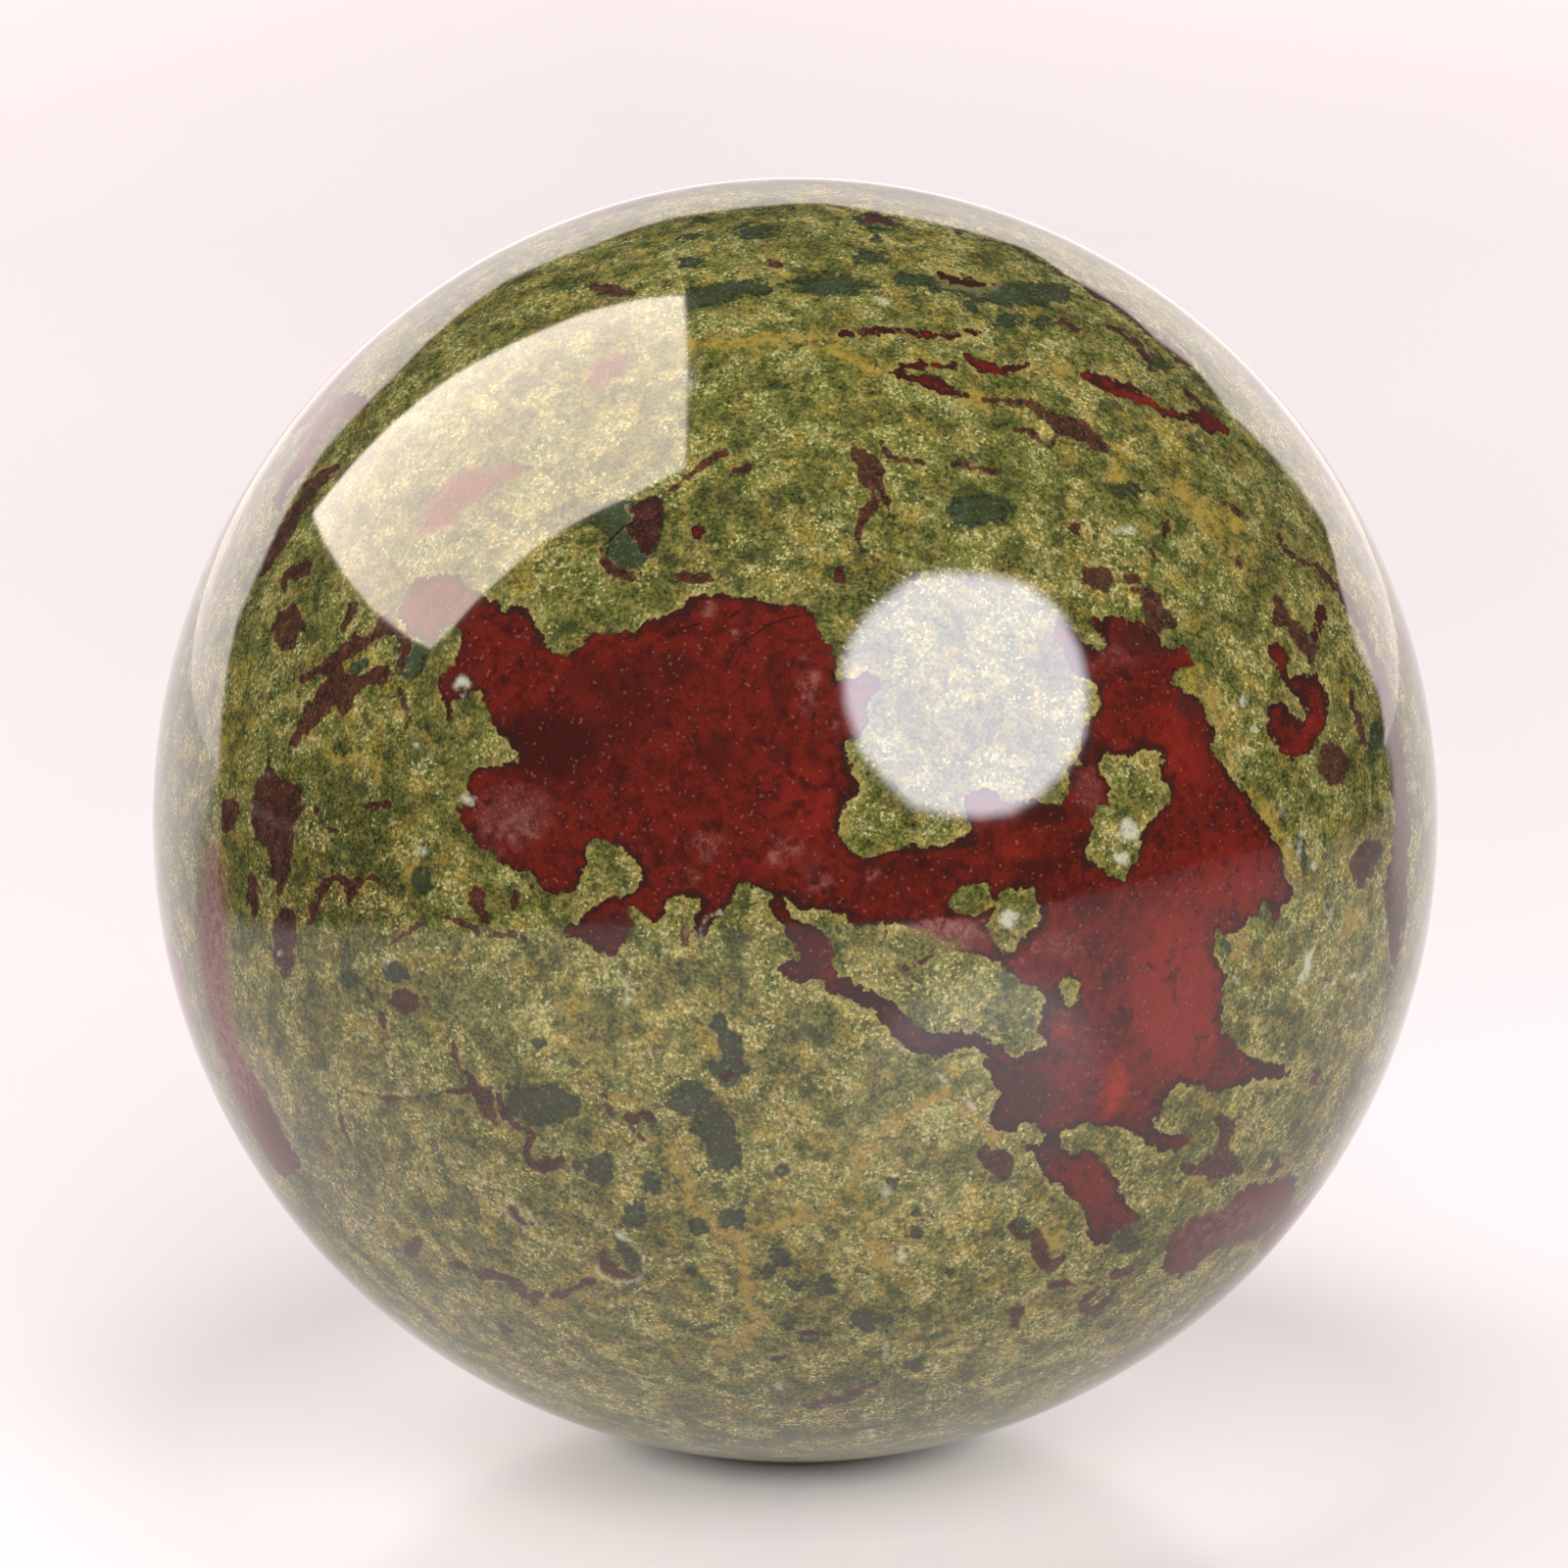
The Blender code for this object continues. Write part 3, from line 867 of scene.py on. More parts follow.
DARK_GREEN_SPOTS = (
    (845, 290, 42, 12, 0), (705, 268, 15, 7, 0), (716, 225, 13, 4, 0), (767, 236, 27, 8, 0),
    (888, 262, 19, 8, 0), (1030, 327, 14, 7, 0), (1064, 329, 12, 7, 0), (792, 392, 12, 4, 0),
    (701, 434, 7, 7, 0), (990, 312, 10, 8, 0), (1179, 370, 18, 10, 20), (705, 243, 12, 5, 0),
    (895, 246, 10, 5, 0), (612, 1192, 15, 17, 0), (590, 1188, 9, 9, 0), (664, 1206, 11, 12, 0),
    (648, 1240, 12, 15, 0), (711, 1253, 14, 9, 0), (747, 1245, 18, 10, 0), (797, 1282, 13, 10, 0),
    (783, 1298, 8, 8, 0), (813, 1311, 9, 6, 0), (842, 1312, 12, 11, 0), (808, 1349, 12, 8, 0),
    (826, 1364, 11, 9, 0), (882, 1347, 16, 13, 0), (907, 1350, 6, 9, 0), (797, 1193, 7, 7, 0),
    (728, 1353, 10, 5, 0), (706, 1297, 8, 6, 0), (935, 1258, 7, 12, 0), (936, 1237, 7, 6, 0),
    (911, 1206, 8, 7, 0), (933, 1391, 9, 7, 0), (1147, 1268, 15, 12, 0), (970, 1300, 5, 5, 0),
    (550, 1066, 8, 6, 0), (1405, 754, 9, 18, 0), (560, 1180, 7, 7, 0), (1000, 520, 36, 18, 0),
    (1150, 500, 30, 8, 0), (1251, 964, 6, 7, 0), (1330, 872, 6, 24, -15), (404, 992, 12, 12, 0),
    (356, 1000, 12, 10, 0), (430, 900, 12, 16, 0), (278, 893, 5, 12, 0),
)

# Pale grains, and painted glints among them: the small spots round (1268, 716), (1280, 744), (1300 to 1340,
# 829 to 884) and (425 to 432, 760 to 773) paint light caught in pits.
PALE_SPOTS_AND_PAINTED_GLINTS = (
    (477, 816, 6, 6, 0), (1147, 541, 10, 5, 0), (1333, 987, 6, 20, 14), (1030, 938, 10, 10, 0),
    (1151, 848, 11, 13, 0), (1145, 876, 9, 8, 0), (794, 1414, 5, 5, 0), (904, 1379, 6, 6, 0),
    (881, 1447, 4, 4, 0), (890, 1462, 4, 4, 0), (904, 1214, 5, 5, 0), (920, 1281, 5, 5, 0),
    (1268, 716, 3, 4, 0), (1280, 744, 3, 4, 0), (1328, 850, 3, 3, 0), (1324, 861, 3, 4, 0),
    (1325, 870, 3, 3, 0), (1317, 859, 2, 3, 0), (1308, 829, 2, 4, 0), (1340, 884, 4, 3, 0),
    (425, 760, 2, 3, 0), (432, 773, 2, 4, 0), (700, 380, 10, 4, 0), (705, 393, 8, 4, 0),
    (395, 980, 3, 4, 0), (414, 1114, 5, 5, 0), (290, 972, 4, 2, 0), (900, 306, 5, 3, 0),
    (268, 786, 2, 5, 0), (1356, 930, 3, 8, -25), (1413, 942, 2, 4, 0), (1364, 973, 2, 4, 0),
    (1262, 1001, 3, 3, 0), (430, 868, 8, 5, 0),
)
PALE_VEINS = {
    "scar in the lobe": ((465, 701, 3), (470, 694, 6), (477, 700, 4), (473, 709, 2)),
    "right line": ((1352, 1008, 2), (1366, 1000, 1.5), (1382, 996, 1.5), (1392, 994, 2), (1396, 988, 1.5)),
    "middle line": ((624, 978, 1.2), (635, 998, 1.2), (641, 1010, 1.2), (640, 1030, 1)),
    "low line": ((958, 1099, 1.2), (975, 1112, 1.2), (990, 1128, 1.2), (1009, 1143, 1.2)),
    "strip line": ((803, 1003, 1), (812, 1018, 1)),
    "bean ring": (
        (517, 1228, 1.4), (527, 1227, 1.2), (540, 1235, 1.2), (547, 1248, 1.6), (542, 1255, 1.4),
        (530, 1250, 1.2), (520, 1242, 1.2), (516, 1232, 1.4),
    ),
    "half moon ring": (
        (608, 1251, 1.0), (626, 1256, 1.6), (632, 1261, 2.0), (645, 1266, 1.2), (652, 1273, 1.8),
        (657, 1285, 2.2), (659, 1296, 1.6), (649, 1306, 1.4), (633, 1309, 1.4), (617, 1303, 1.2),
        (610, 1293, 1.2), (613, 1282, 1.0),
    ),
    "under the patch": ((714, 955, 1.2), (718, 940, 1.2), (735, 930, 1.2)),
}

OCHRE_VEINS = {
    "low diagonal": (
        (965, 1115, 4), (933, 1128, 4), (894, 1166, 5), (875, 1191, 5), (869, 1217, 5), (837, 1236, 5),
        (799, 1246, 5), (767, 1255, 5),
    ),
    "low diagonal, right": ((965, 1115, 4), (996, 1140, 4), (1016, 1160, 4)),
    "low upright": ((885, 1242, 6), (898, 1274, 6), (901, 1312, 5)),
    "foot run": (
        (681, 1172, 6), (697, 1204, 6), (713, 1233, 7), (738, 1255, 7), (754, 1277, 8), (760, 1319, 7),
        (773, 1351, 7), (738, 1379, 6),
    ),
    "crown run": (
        (700, 354, 5), (740, 350, 4), (786, 347, 5), (824, 351, 5), (856, 357, 4), (882, 370, 5),
        (914, 380, 5),
    ),
    "dash end": ((982, 405, 4), (1002, 410, 5)),
    "upper run": ((1045, 376, 5), (1075, 378, 4), (1105, 384, 5)),
    "upper upright": ((1140, 456, 4), (1142, 488, 5)),
    "right upright": ((1255, 517, 5), (1265, 565, 6)),
    "right slant": ((1195, 500, 6), (1220, 518, 8), (1245, 540, 7)),
    "by the right arm": ((1208, 684, 7), (1222, 702, 6), (1236, 716, 7), (1246, 742, 6), (1258, 770, 5)),
    "along the right arm": ((1272, 800, 4), (1290, 826, 5), (1308, 856, 5), (1318, 890, 5)),
    "left limb": ((226, 745, 4), (230, 762, 5)),
}
OCHRE_SPOTS = (
    (560, 1120, 16, 8, 20), (597, 1100, 9, 5, 0), (420, 890, 9, 16, -10), (1377, 940, 9, 12, 0),
    (735, 1068, 6, 8, 0), (1072, 1258, 12, 16, 0), (640, 1122, 9, 6, 0), (700, 1130, 6, 4, 0),
    (985, 1066, 8, 5, 0), (1022, 405, 10, 3, 0), (342, 777, 6, 6, 0), (388, 790, 6, 6, 0),
    (610, 1300, 9, 5, 0), (1265, 966, 6, 14, 0),
)

CRACKS = {
    "lobe": ((681, 650, 0.9), (700, 640, 1.0), (715, 636, 0.7)),
    "notch": ((739, 632, 0.8), (750, 627, 1.0), (762, 617, 0.7)),
    "long": (
        (818, 628, 0.8), (800, 632, 1.1), (781, 639, 1.1), (774, 645, 1.0), (757, 656, 1.0),
        (748, 667, 0.9), (744, 676, 0.7),
    ),
    "in the dark spot": (
        (617, 556, 1.8), (624, 550, 1.2), (632, 542, 1.6), (638, 537, 1.6), (646, 533, 0.9),
    ),
}

# Changes of tone: (across, down, half length, half width, turn in degrees, strength).
DEEP_RED = (
    (560, 760, 80, 52, 0, 0.85), (640, 715, 42, 62, 0, 0.5), (690, 680, 26, 26, 0, 0.6),
    (735, 770, 22, 32, 0, 0.5), (1117, 922, 22, 14, 0, 0.8), (1060, 885, 40, 22, 0, 0.75),
    (1065, 832, 38, 15, 0, 1.0), (797, 690, 10, 52, 0, 0.45), (717, 772, 9, 30, 0, 0.4),
    (688, 678, 26, 22, 0, 0.4), (930, 888, 60, 20, 0, 0.45), (600, 690, 30, 30, 0, 0.4),
    (1030, 1110, 40, 40, 0, 0.6), (1296, 925, 16, 10, 0, 0.8),
)
BRIGHT_RED = (
    (820, 815, 40, 55, 0, 0.5), (790, 880, 40, 18, 0, 0.5), (1200, 1010, 60, 120, 0, 0.9),
    (1200, 760, 30, 60, -25, 0.6), (1250, 900, 60, 50, 0, 0.6), (1150, 400, 60, 20, 20, 0.8),
    (1120, 1215, 25, 40, -25, 0.3), (1330, 735, 16, 22, 0, 0.7),
)
MAUVE = (
    (525, 830, 50, 34, 0, 0.8), (1085, 965, 32, 16, 0, 0.7), (960, 958, 70, 20, 0, 0.9),
    (1110, 805, 18, 30, 0, 0.7), (330, 440, 60, 60, 0, 0.8), (232, 960, 56, 260, 0, 1.0),
    (500, 872, 22, 12, 0, 0.5), (830, 885, 20, 12, 0, 0.3), (1140, 670, 30, 18, 0, 0.4),
    (640, 940, 30, 20, 0, 0.3), (1250, 1255, 90, 50, 0, 0.5), (480, 520, 100, 60, -30, 1.0),
    (620, 380, 40, 30, 0, 1.0),
)
BROWN_RED = (
    (1040, 1120, 52, 46, 0, 1.0), (1070, 1170, 26, 26, 0, 1.0), (1180, 650, 58, 24, 0, 1.0),
    (1215, 715, 20, 28, 0, 0.9), (620, 950, 34, 24, 0, 1.0), (1300, 1090, 16, 12, 0, 0.8),
    (470, 700, 22, 20, 0, 0.8), (490, 860, 22, 16, 0, 0.7), (1098, 665, 18, 32, 0, 0.9),
    (712, 945, 12, 14, 0, 0.9), (940, 1045, 120, 44, 24, 1.0), (820, 970, 40, 50, 0, 1.0),
    (1250, 1255, 80, 40, 0, 0.55), (1122, 1240, 34, 44, 0, 0.25), (1095, 785, 8, 26, 0, 0.6),
    (1340, 640, 16, 20, 0, 0.6),
)
ORANGE_RED = (
    (1138, 1110, 18, 38, 15, 0.9), (1090, 1054, 9, 11, 0, 0.7), (1230, 1059, 16, 7, 0, 0.5),
    (1040, 868, 26, 9, 0, 0.35),
)
PALE_CLOUDS = (
    (722, 862, 22, 15, 0, 0.5), (800, 872, 22, 10, -35, 0.7), (838, 903, 14, 8, -35, 0.7),
    (702, 895, 9, 12, 0, 0.5), (722, 622, 10, 12, 0, 0.6), (750, 645, 8, 6, 0, 0.5),
    (826, 700, 11, 42, 0, 0.45), (850, 735, 6, 10, 0, 0.4), (892, 890, 10, 12, 0, 0.5),
    (800, 855, 10, 10, 0, 0.5), (1055, 965, 7, 5, 0, 0.9), (560, 1005, 10, 6, 0, 0.4),
    (240, 1010, 46, 200, 0, 1.0), (1255, 1255, 70, 40, 0, 0.35), (950, 952, 66, 20, 0, 0.9),
    (520, 845, 40, 20, 0, 0.5),
)
LIGHT_MATRIX = (
    (986, 1100, 34, 26, 20, 1.0), (900, 1200, 190, 130, 0, 0.8), (1010, 1350, 120, 60, 0, 0.4),
    (620, 1050, 140, 70, 0, 1.0), (1380, 1000, 60, 120, 0, 0.5), (1000, 1020, 60, 40, 0, 0.6),
    (560, 420, 170, 90, 0, 0.4), (1150, 530, 60, 40, 0, 0.3), (1330, 620, 50, 60, 0, 0.3),
)
# Darker places of the green ground. Those on the left side and the wide band low over the foot are painted
# shade, where the ball turns from the lamps and down to the table; the rest are darker stone.
DARK_AND_PAINTED_SHADE_MATRIX = (
    (340, 870, 120, 110, 0, 0.8), (300, 700, 70, 90, 0, 0.4), (700, 560, 160, 50, 0, 0.3),
    (850, 1440, 260, 60, 0, 0.6), (890, 600, 60, 40, 0, 0.4), (420, 780, 70, 60, 0, 0.2),
    (930, 820, 60, 40, 0, 0.5), (770, 980, 60, 30, 0, 0.2), (322, 1190, 26, 80, -25, 0.9),
)
GREEN_MATRIX = (
    (986, 1104, 36, 30, 20, 1.0), (990, 1010, 90, 60, 0, 0.9), (1140, 1250, 50, 80, 0, 0.5),
    (800, 420, 260, 110, 0, 0.6), (1000, 500, 200, 90, 0, 0.4), (980, 1020, 90, 50, 0, 0.8),
    (500, 1060, 130, 90, 0, 0.4), (900, 830, 60, 50, 0, 0.4), (1150, 820, 40, 50, 0, 0.3),
    (740, 980, 70, 40, 0, 0.5), (640, 600, 60, 40, 0, 0.4), (450, 940, 120, 40, 0, 0.4),
    (500, 760, 24, 20, 0, 0.5),
)
OCHRE_MATRIX = (
    (1000, 270, 320, 40, 8, 0.5), (260, 720, 50, 130, 0, 0.6), (1080, 420, 260, 60, 12, 0.4),
    (1180, 690, 70, 60, 0, 0.2), (520, 1290, 130, 50, 20, 0.4), (1380, 900, 60, 110, 0, 0.5),
    (680, 1150, 130, 60, 0, 0.3), (850, 570, 70, 30, 0, 0.4), (1040, 1250, 50, 40, 0, 0.5),
    (290, 1050, 60, 160, 0, 0.3), (1000, 920, 40, 30, 0, 0.8), (430, 1010, 60, 40, 0, 0.3),
)


# The markings that the photo doesn't show: (degrees round from the front, degrees up, half width in mm).

HIDDEN_JASPER = (
    ((290, -9, 1.4), (278, -14, 3.0), (266, -10, 4.4), (256, -2, 3.8), (248, 6, 2.4)),
    ((266, -10, 3.4), (262, -24, 2.8), (254, -34, 2.2), (240, -38, 1.6), (228, -34, 2.6)),
    ((214, -6, 2.6), (204, 4, 4.6), (192, 10, 5.4), (180, 6, 4.8), (170, 12, 3.4), (160, 20, 2.2)),
    ((192, 10, 4.4), (190, 26, 3.4), (196, 38, 2.6), (206, 48, 1.8)),
    ((180, 6, 4.0), (176, -10, 2.8), (168, -20, 3.6), (158, -24, 2.0)),
    ((62, -33, 1.6), (74, -36, 2.8), (88, -38, 3.8), (102, -34, 3.2), (112, -26, 2.0), (124, -22, 1.0)),
    ((108, 22, 1.0), (118, 28, 2.2), (130, 34, 3.0), (142, 36, 1.8), (152, 44, 0.8)),
    ((281, 42, 2.0), (268, 46, 3.2), (252, 50, 2.8), (238, 44, 1.6)),
    ((150, -58, 2.2), (180, -64, 3.4), (215, -58, 2.8), (240, -52, 1.4)),
)
HIDDEN_ISLETS = (
    ((200, 6, 1.5), (203, 10, 1.1)),
    ((185, 15, 1.3), (183, 12, 0.9)),
    ((268, -8, 1.4), (265, -11, 1.2)),
    ((94, -37, 1.3), (92, -35, 0.8)),
    ((176, -1, 1.0), (177, 2, 0.8)),
    ((258, 47, 1.0), (255, 49, 0.8)),
    ((192, 31, 0.9), (193, 34, 0.7)),
    ((258, -28, 0.9), (256, -30, 0.7)),
)

# The small runs behind, in mm: (kind, how many, length, half width, bend). The pale ones are all as long.
HIDDEN_SEED = 41
HIDDEN_RUNS = (
    ("maroon", 34, (3, 14), (0.3, 0.7), 0.4),
    ("maroon", 24, (1.2, 3.0), (0.6, 1.1), 0.5),
    ("dark_green", 64, (1.0, 2.4), (0.4, 1.0), 0.6),
    ("ochre", 22, (5, 18), (0.3, 0.5), 0.3),
)
HIDDEN_PALE = (20, 1.2, (0.2, 0.4), 0.5)
HIDDEN_STRIDE = 0.6
HIDDEN_WIDTHS = (0.6, 1.3)
HIDDEN_FACING = 0.1

# How far noise moves the places behind, and over what length it does so, in mm.
SHAKES = ((0.9, 3.1), (0.35, 0.9))

# The traced markings give way to the hidden ones where the ball turns from the camera, between these slants.
FRONT_FADE = (0.10, 0.24)


def on_globe(round_front, up, radius):
    """A point at an angle round from the photographed side and an angle up, from the ball's centre."""
    turn, lift = math.radians(round_front), math.radians(up)
    flat = math.cos(lift)
    return radius * np.array((math.sin(turn) * flat, -math.cos(turn) * flat, math.sin(lift)))


def globe_run(run):
    """A hidden vein as points in millimetres from the ball's centre, with half widths, on a smooth curve."""
    rows = [(*on_globe(turn, up, RADIUS / MM), width) for turn, up, width in run]
    return smoothed(rows, closed=False, steps=4)


def wander(draw, length, width, bend):
    """A vein of a length in mm that sets off from a random place away from the photographed side."""
    place = unit(np.array([draw.gauss(0, 1) for axis in range(3)]))
    while place @ TO_CAMERA > HIDDEN_FACING:
        place = unit(np.array([draw.gauss(0, 1) for axis in range(3)]))
    heading = unit(np.cross(place, [draw.gauss(0, 1) for axis in range(3)]))
    count = max(2, round(length / HIDDEN_STRIDE))
    rows = []
    for step in range(count):
        taper = math.sin(math.pi * (step + 0.5) / count) ** 0.5
        rows.append((*(place * RADIUS / MM), width * taper * draw.uniform(*HIDDEN_WIDTHS)))
        place = unit(place + heading * HIDDEN_STRIDE * MM / RADIUS)
        heading = unit(heading + bend * draw.gauss(0, 1) * np.cross(place, heading))
        heading = unit(heading - (heading @ place) * place)
    return np.array(rows)


def hidden_markings():
    """The runs of each kind on the sides that the photo doesn't show, drawn from one fixed seed.

    Blender's vector noise has a seed of its own, from the clock unless it is set.
    """
    draw = random.Random(HIDDEN_SEED)
    noise.seed_set(HIDDEN_SEED)
    hidden = {
        "jasper": [globe_run(run) for run in HIDDEN_JASPER],
        "islets": [globe_run(run) for run in HIDDEN_ISLETS],
    }
    for kind, count, lengths, widths, bend in HIDDEN_RUNS:
        runs = hidden.setdefault(kind, [])
        for number in range(count):
            runs.append(wander(draw, draw.uniform(*lengths), draw.uniform(*widths), bend))
    count, length, widths, bend = HIDDEN_PALE
    hidden["pale"] = [wander(draw, length, draw.uniform(*widths), bend) for number in range(count)]
    return hidden


# How deep each place lies inside the markings.

# Depths are followed this many pixels away from a marking.
REACH = 60.0


def smoothed(points, closed, steps=3):
    """Points along a smooth curve through the given ones."""
    points = np.array(points, float)
    if closed:
        row = np.concatenate((points[-1:], points, points[:2]))
    else:
        row = np.concatenate((points[:1], points, points[-1:]))
    curve = []
    for before, start, end, after in zip(row, row[1:], row[2:], row[3:]):
        for step in range(steps):
            t = step / steps
            bend = (2 * before - 5 * start + 4 * end - after) * t**2
            twist = (3 * start - before - 3 * end + after) * t**3
            curve.append((2 * start + (end - before) * t + bend + twist) / 2)
    if not closed:
        curve.append(points[-1])
    return np.array(curve)


def patch_depth(places, outline):
    """How deep each place lies inside a closed outline. It is negative outside."""
    curve = smoothed(outline, closed=True)
    nearest = np.full(len(places), np.inf)
    inside = np.zeros(len(places), bool)
    x, y = places.T
    for start, end in zip(curve, np.roll(curve, -1, axis=0)):
        along = end - start
        away = places - start
        share = np.clip(away @ along / (along @ along + 1e-9), 0, 1)
        gap = away - share[:, None] * along
        nearest = np.minimum(nearest, (gap**2).sum(axis=1))
        crosses = (start[1] > y) != (end[1] > y)
        if crosses.any():
            inside ^= crosses & (x < start[0] + along[0] * (y - start[1]) / along[1])
    distance = np.sqrt(nearest)
    return np.where(inside, distance, -distance)


def run_depth(places, run):
    """How deep each place lies inside a run, whose last column is its half width."""
    deepest = np.full(len(places), -np.inf)
    for start, end in zip(run[:-1], run[1:]):
        along = end[:-1] - start[:-1]
        away = places - start[:-1]
        share = np.clip(away @ along / (along @ along + 1e-12), 0, 1)
        gap = np.linalg.norm(away - share[:, None] * along, axis=1)
        deepest = np.maximum(deepest, start[-1] + share * (end[-1] - start[-1]) - gap)
    return deepest


def spot_share(places, spot):
    """0 in the middle of a spot and 1 at its edge."""
    x, y, half_length, half_width, turn = spot[:5]
    angle = math.radians(turn)
    across, down = places[:, 0] - x, places[:, 1] - y
    along = (across * math.cos(angle) + down * math.sin(angle)) / half_length
    aside = (down * math.cos(angle) - across * math.sin(angle)) / half_width
    return np.hypot(along, aside)


def lay(depth, places, corners, margin, measure):
    """Joins one marking to the depths, at the places that lie near it."""
    low = corners.min(axis=0) - margin
    high = corners.max(axis=0) + margin
    close = np.all((places > low) & (places < high), axis=1)
    if close.any():
        depth[close] = np.maximum(depth[close], measure(places[close]))


def traced_depth(places, patches=None, veins=None, spots=()):
    """How deep each photo pixel lies inside the traced markings of one kind, in pixels."""
    depth = np.full(len(places), -REACH)
    for outline in (patches or {}).values():
        lay(depth, places, np.array(outline, float), REACH, lambda close: patch_depth(close, outline))
    for vein in (veins or {}).values():
        run = smoothed(vein, closed=False, steps=2)
        lay(depth, places, run[:, :2], REACH, lambda close: run_depth(close, run))
    for spot in spots:
        middle = np.array(((spot[0], spot[1]),), float)
        thin, size = sorted(spot[2:4])
        lay(depth, places, middle, REACH + size, lambda close: (1 - spot_share(close, spot)) * thin)
    return depth


def hidden_depth(places, runs):
    """The same for the hidden markings, with places and depths in millimetres."""
    margin = REACH * PIXEL_MM
    depth = np.full(len(places), -margin)
    for run in runs:
        lay(depth, places, run[:, :3], margin, lambda close: run_depth(close, run))
    return depth


def shaken(places):
    """Places moved a little by noise, so that the hidden markings get ragged outlines."""
    moved = np.empty_like(places)
    for row, place in enumerate(places):
        start = Vector(place)
        end = start
        for reach, length in SHAKES:
            end = end + reach * noise.noise_vector(start / length)
        moved[row] = end
    return moved


def front_share(points):
    """1 where the photo shows the ball, 0 where it doesn't, and smooth between them near its rim."""
    facing = (unit(points - CENTRE) * unit(EYE - points)).sum(axis=1)
    low, high = FRONT_FADE
    share = np.clip((facing - low) / (high - low), 0, 1)
    return share * share * (3 - 2 * share)


TRACED = {
    "jasper": (JASPER_PATCHES, JASPER_VEINS, JASPER_SPOTS),
    "maroon": (MAROON_PATCHES, MAROON_VEINS, MAROON_SPOTS),
    "dark_green": (DARK_GREEN_PATCHES, DARK_GREEN_VEINS, DARK_GREEN_SPOTS),
    "pale": ({}, PALE_VEINS, PALE_SPOTS_AND_PAINTED_GLINTS),
    "ochre": ({}, OCHRE_VEINS, OCHRE_SPOTS),
    "crack": ({}, CRACKS, ()),
}
# The finest mesh spacing wanted along the edges of each kind, in mm.
FINEST = {
    "jasper": 0.17,
    "maroon": 0.17,
    "dark_green": 0.30,
    "pale": 0.17,
    "ochre": 0.60,
    "crack": 0.09,
}
FINEST_HIDDEN = {
    "jasper": 0.34,
    "maroon": 0.34,
    "dark_green": 0.60,
    "pale": 0.34,
    "ochre": 0.60,
    "crack": 0.60,
}
FINEST_TONE = 0.7
FINEST_RIM = 0.30
COARSEST = 1.2
# How the spacing grows with the distance from an edge, with a tone's size, and away from the flat.
SPACING_PER_DEPTH = 2.4
SPACING_PER_SIZE = 0.4
SPACING_PER_RIM = 0.5
TONE_MARGIN = 1.3


def marking_depths(points, hidden):
    """How deep each point of the ball lies in each kind of marking, in mm, and the mesh spacing it needs."""
    share = front_share(points)
    seen = share > 0
    unseen = share < 1
    pixels = photo_pixels(points[seen])
    places = shaken((points[unseen] - CENTRE) / MM)
    depths = {}
    spacing = np.full(len(points), COARSEST)
    for kind, traced in TRACED.items():
        front = np.full(len(points), -REACH * PIXEL_MM)
        back = front.copy()
        front[seen] = traced_depth(pixels, *traced) * PIXEL_MM
        back[unseen] = hidden_depth(places, hidden.get(kind, ()))
        if kind == "jasper":
            front[seen] = np.minimum(front[seen], -traced_depth(pixels, ISLETS, {}, ISLET_SPOTS) * PIXEL_MM)
            back[unseen] = np.minimum(back[unseen], -hidden_depth(places, hidden["islets"]))
        depths[kind] = share * front + (1 - share) * back
        finest = share * FINEST[kind] + (1 - share) * FINEST_HIDDEN[kind]
        spacing = np.minimum(spacing, np.maximum(finest, SPACING_PER_DEPTH * np.abs(depths[kind])))
    for tone in SMALL_TONES:
        size = min(tone[2], tone[3]) * PIXEL_MM
        near = spot_share(pixels, tone) < TONE_MARGIN
        rows = np.flatnonzero(seen)[near]
        spacing[rows] = np.minimum(spacing[rows], max(FINEST_TONE, SPACING_PER_SIZE * size))
    rim = np.abs(np.hypot(points[:, 0], points[:, 1]) - FLAT_RADIUS) / MM + np.maximum(points[:, 2], 0) / MM
    spacing = np.minimum(spacing, np.maximum(FINEST_RIM, SPACING_PER_RIM * rim))
    return depths, spacing


TONES = {
    "deep": DEEP_RED,
    "bright": BRIGHT_RED,
    "mauve": MAUVE,
    "brown": BROWN_RED,
    "orange": ORANGE_RED,
    "clouds": PALE_CLOUDS,
    "light": LIGHT_MATRIX,
    "shaded": DARK_AND_PAINTED_SHADE_MATRIX,
    "green": GREEN_MATRIX,
    "gold": OCHRE_MATRIX,
}
SMALL_TONE = 30
SMALL_TONES = [
    tone
    for group in (DEEP_RED, MAUVE, BROWN_RED, ORANGE_RED, PALE_CLOUDS)
    for tone in group
    if tone[2] < SMALL_TONE
]

# How a tone fades to its edge: the steepness, and the power that softens the fade.
TONE_STEEPNESS = 2.2
TONE_POWER = 1.5

# How common a change of tone is behind, how much it varies, over what length in mm, and how far apart in the
# noise the kinds of tone are taken.
HIDDEN_LEVEL = 0.25
HIDDEN_LEVELS = {"mauve": -0.1, "clouds": 0.0, "bright": 0.35}
HIDDEN_CONTRAST = 1.1
HIDDEN_LENGTH = 6.5
HIDDEN_SHIFT = 7.3


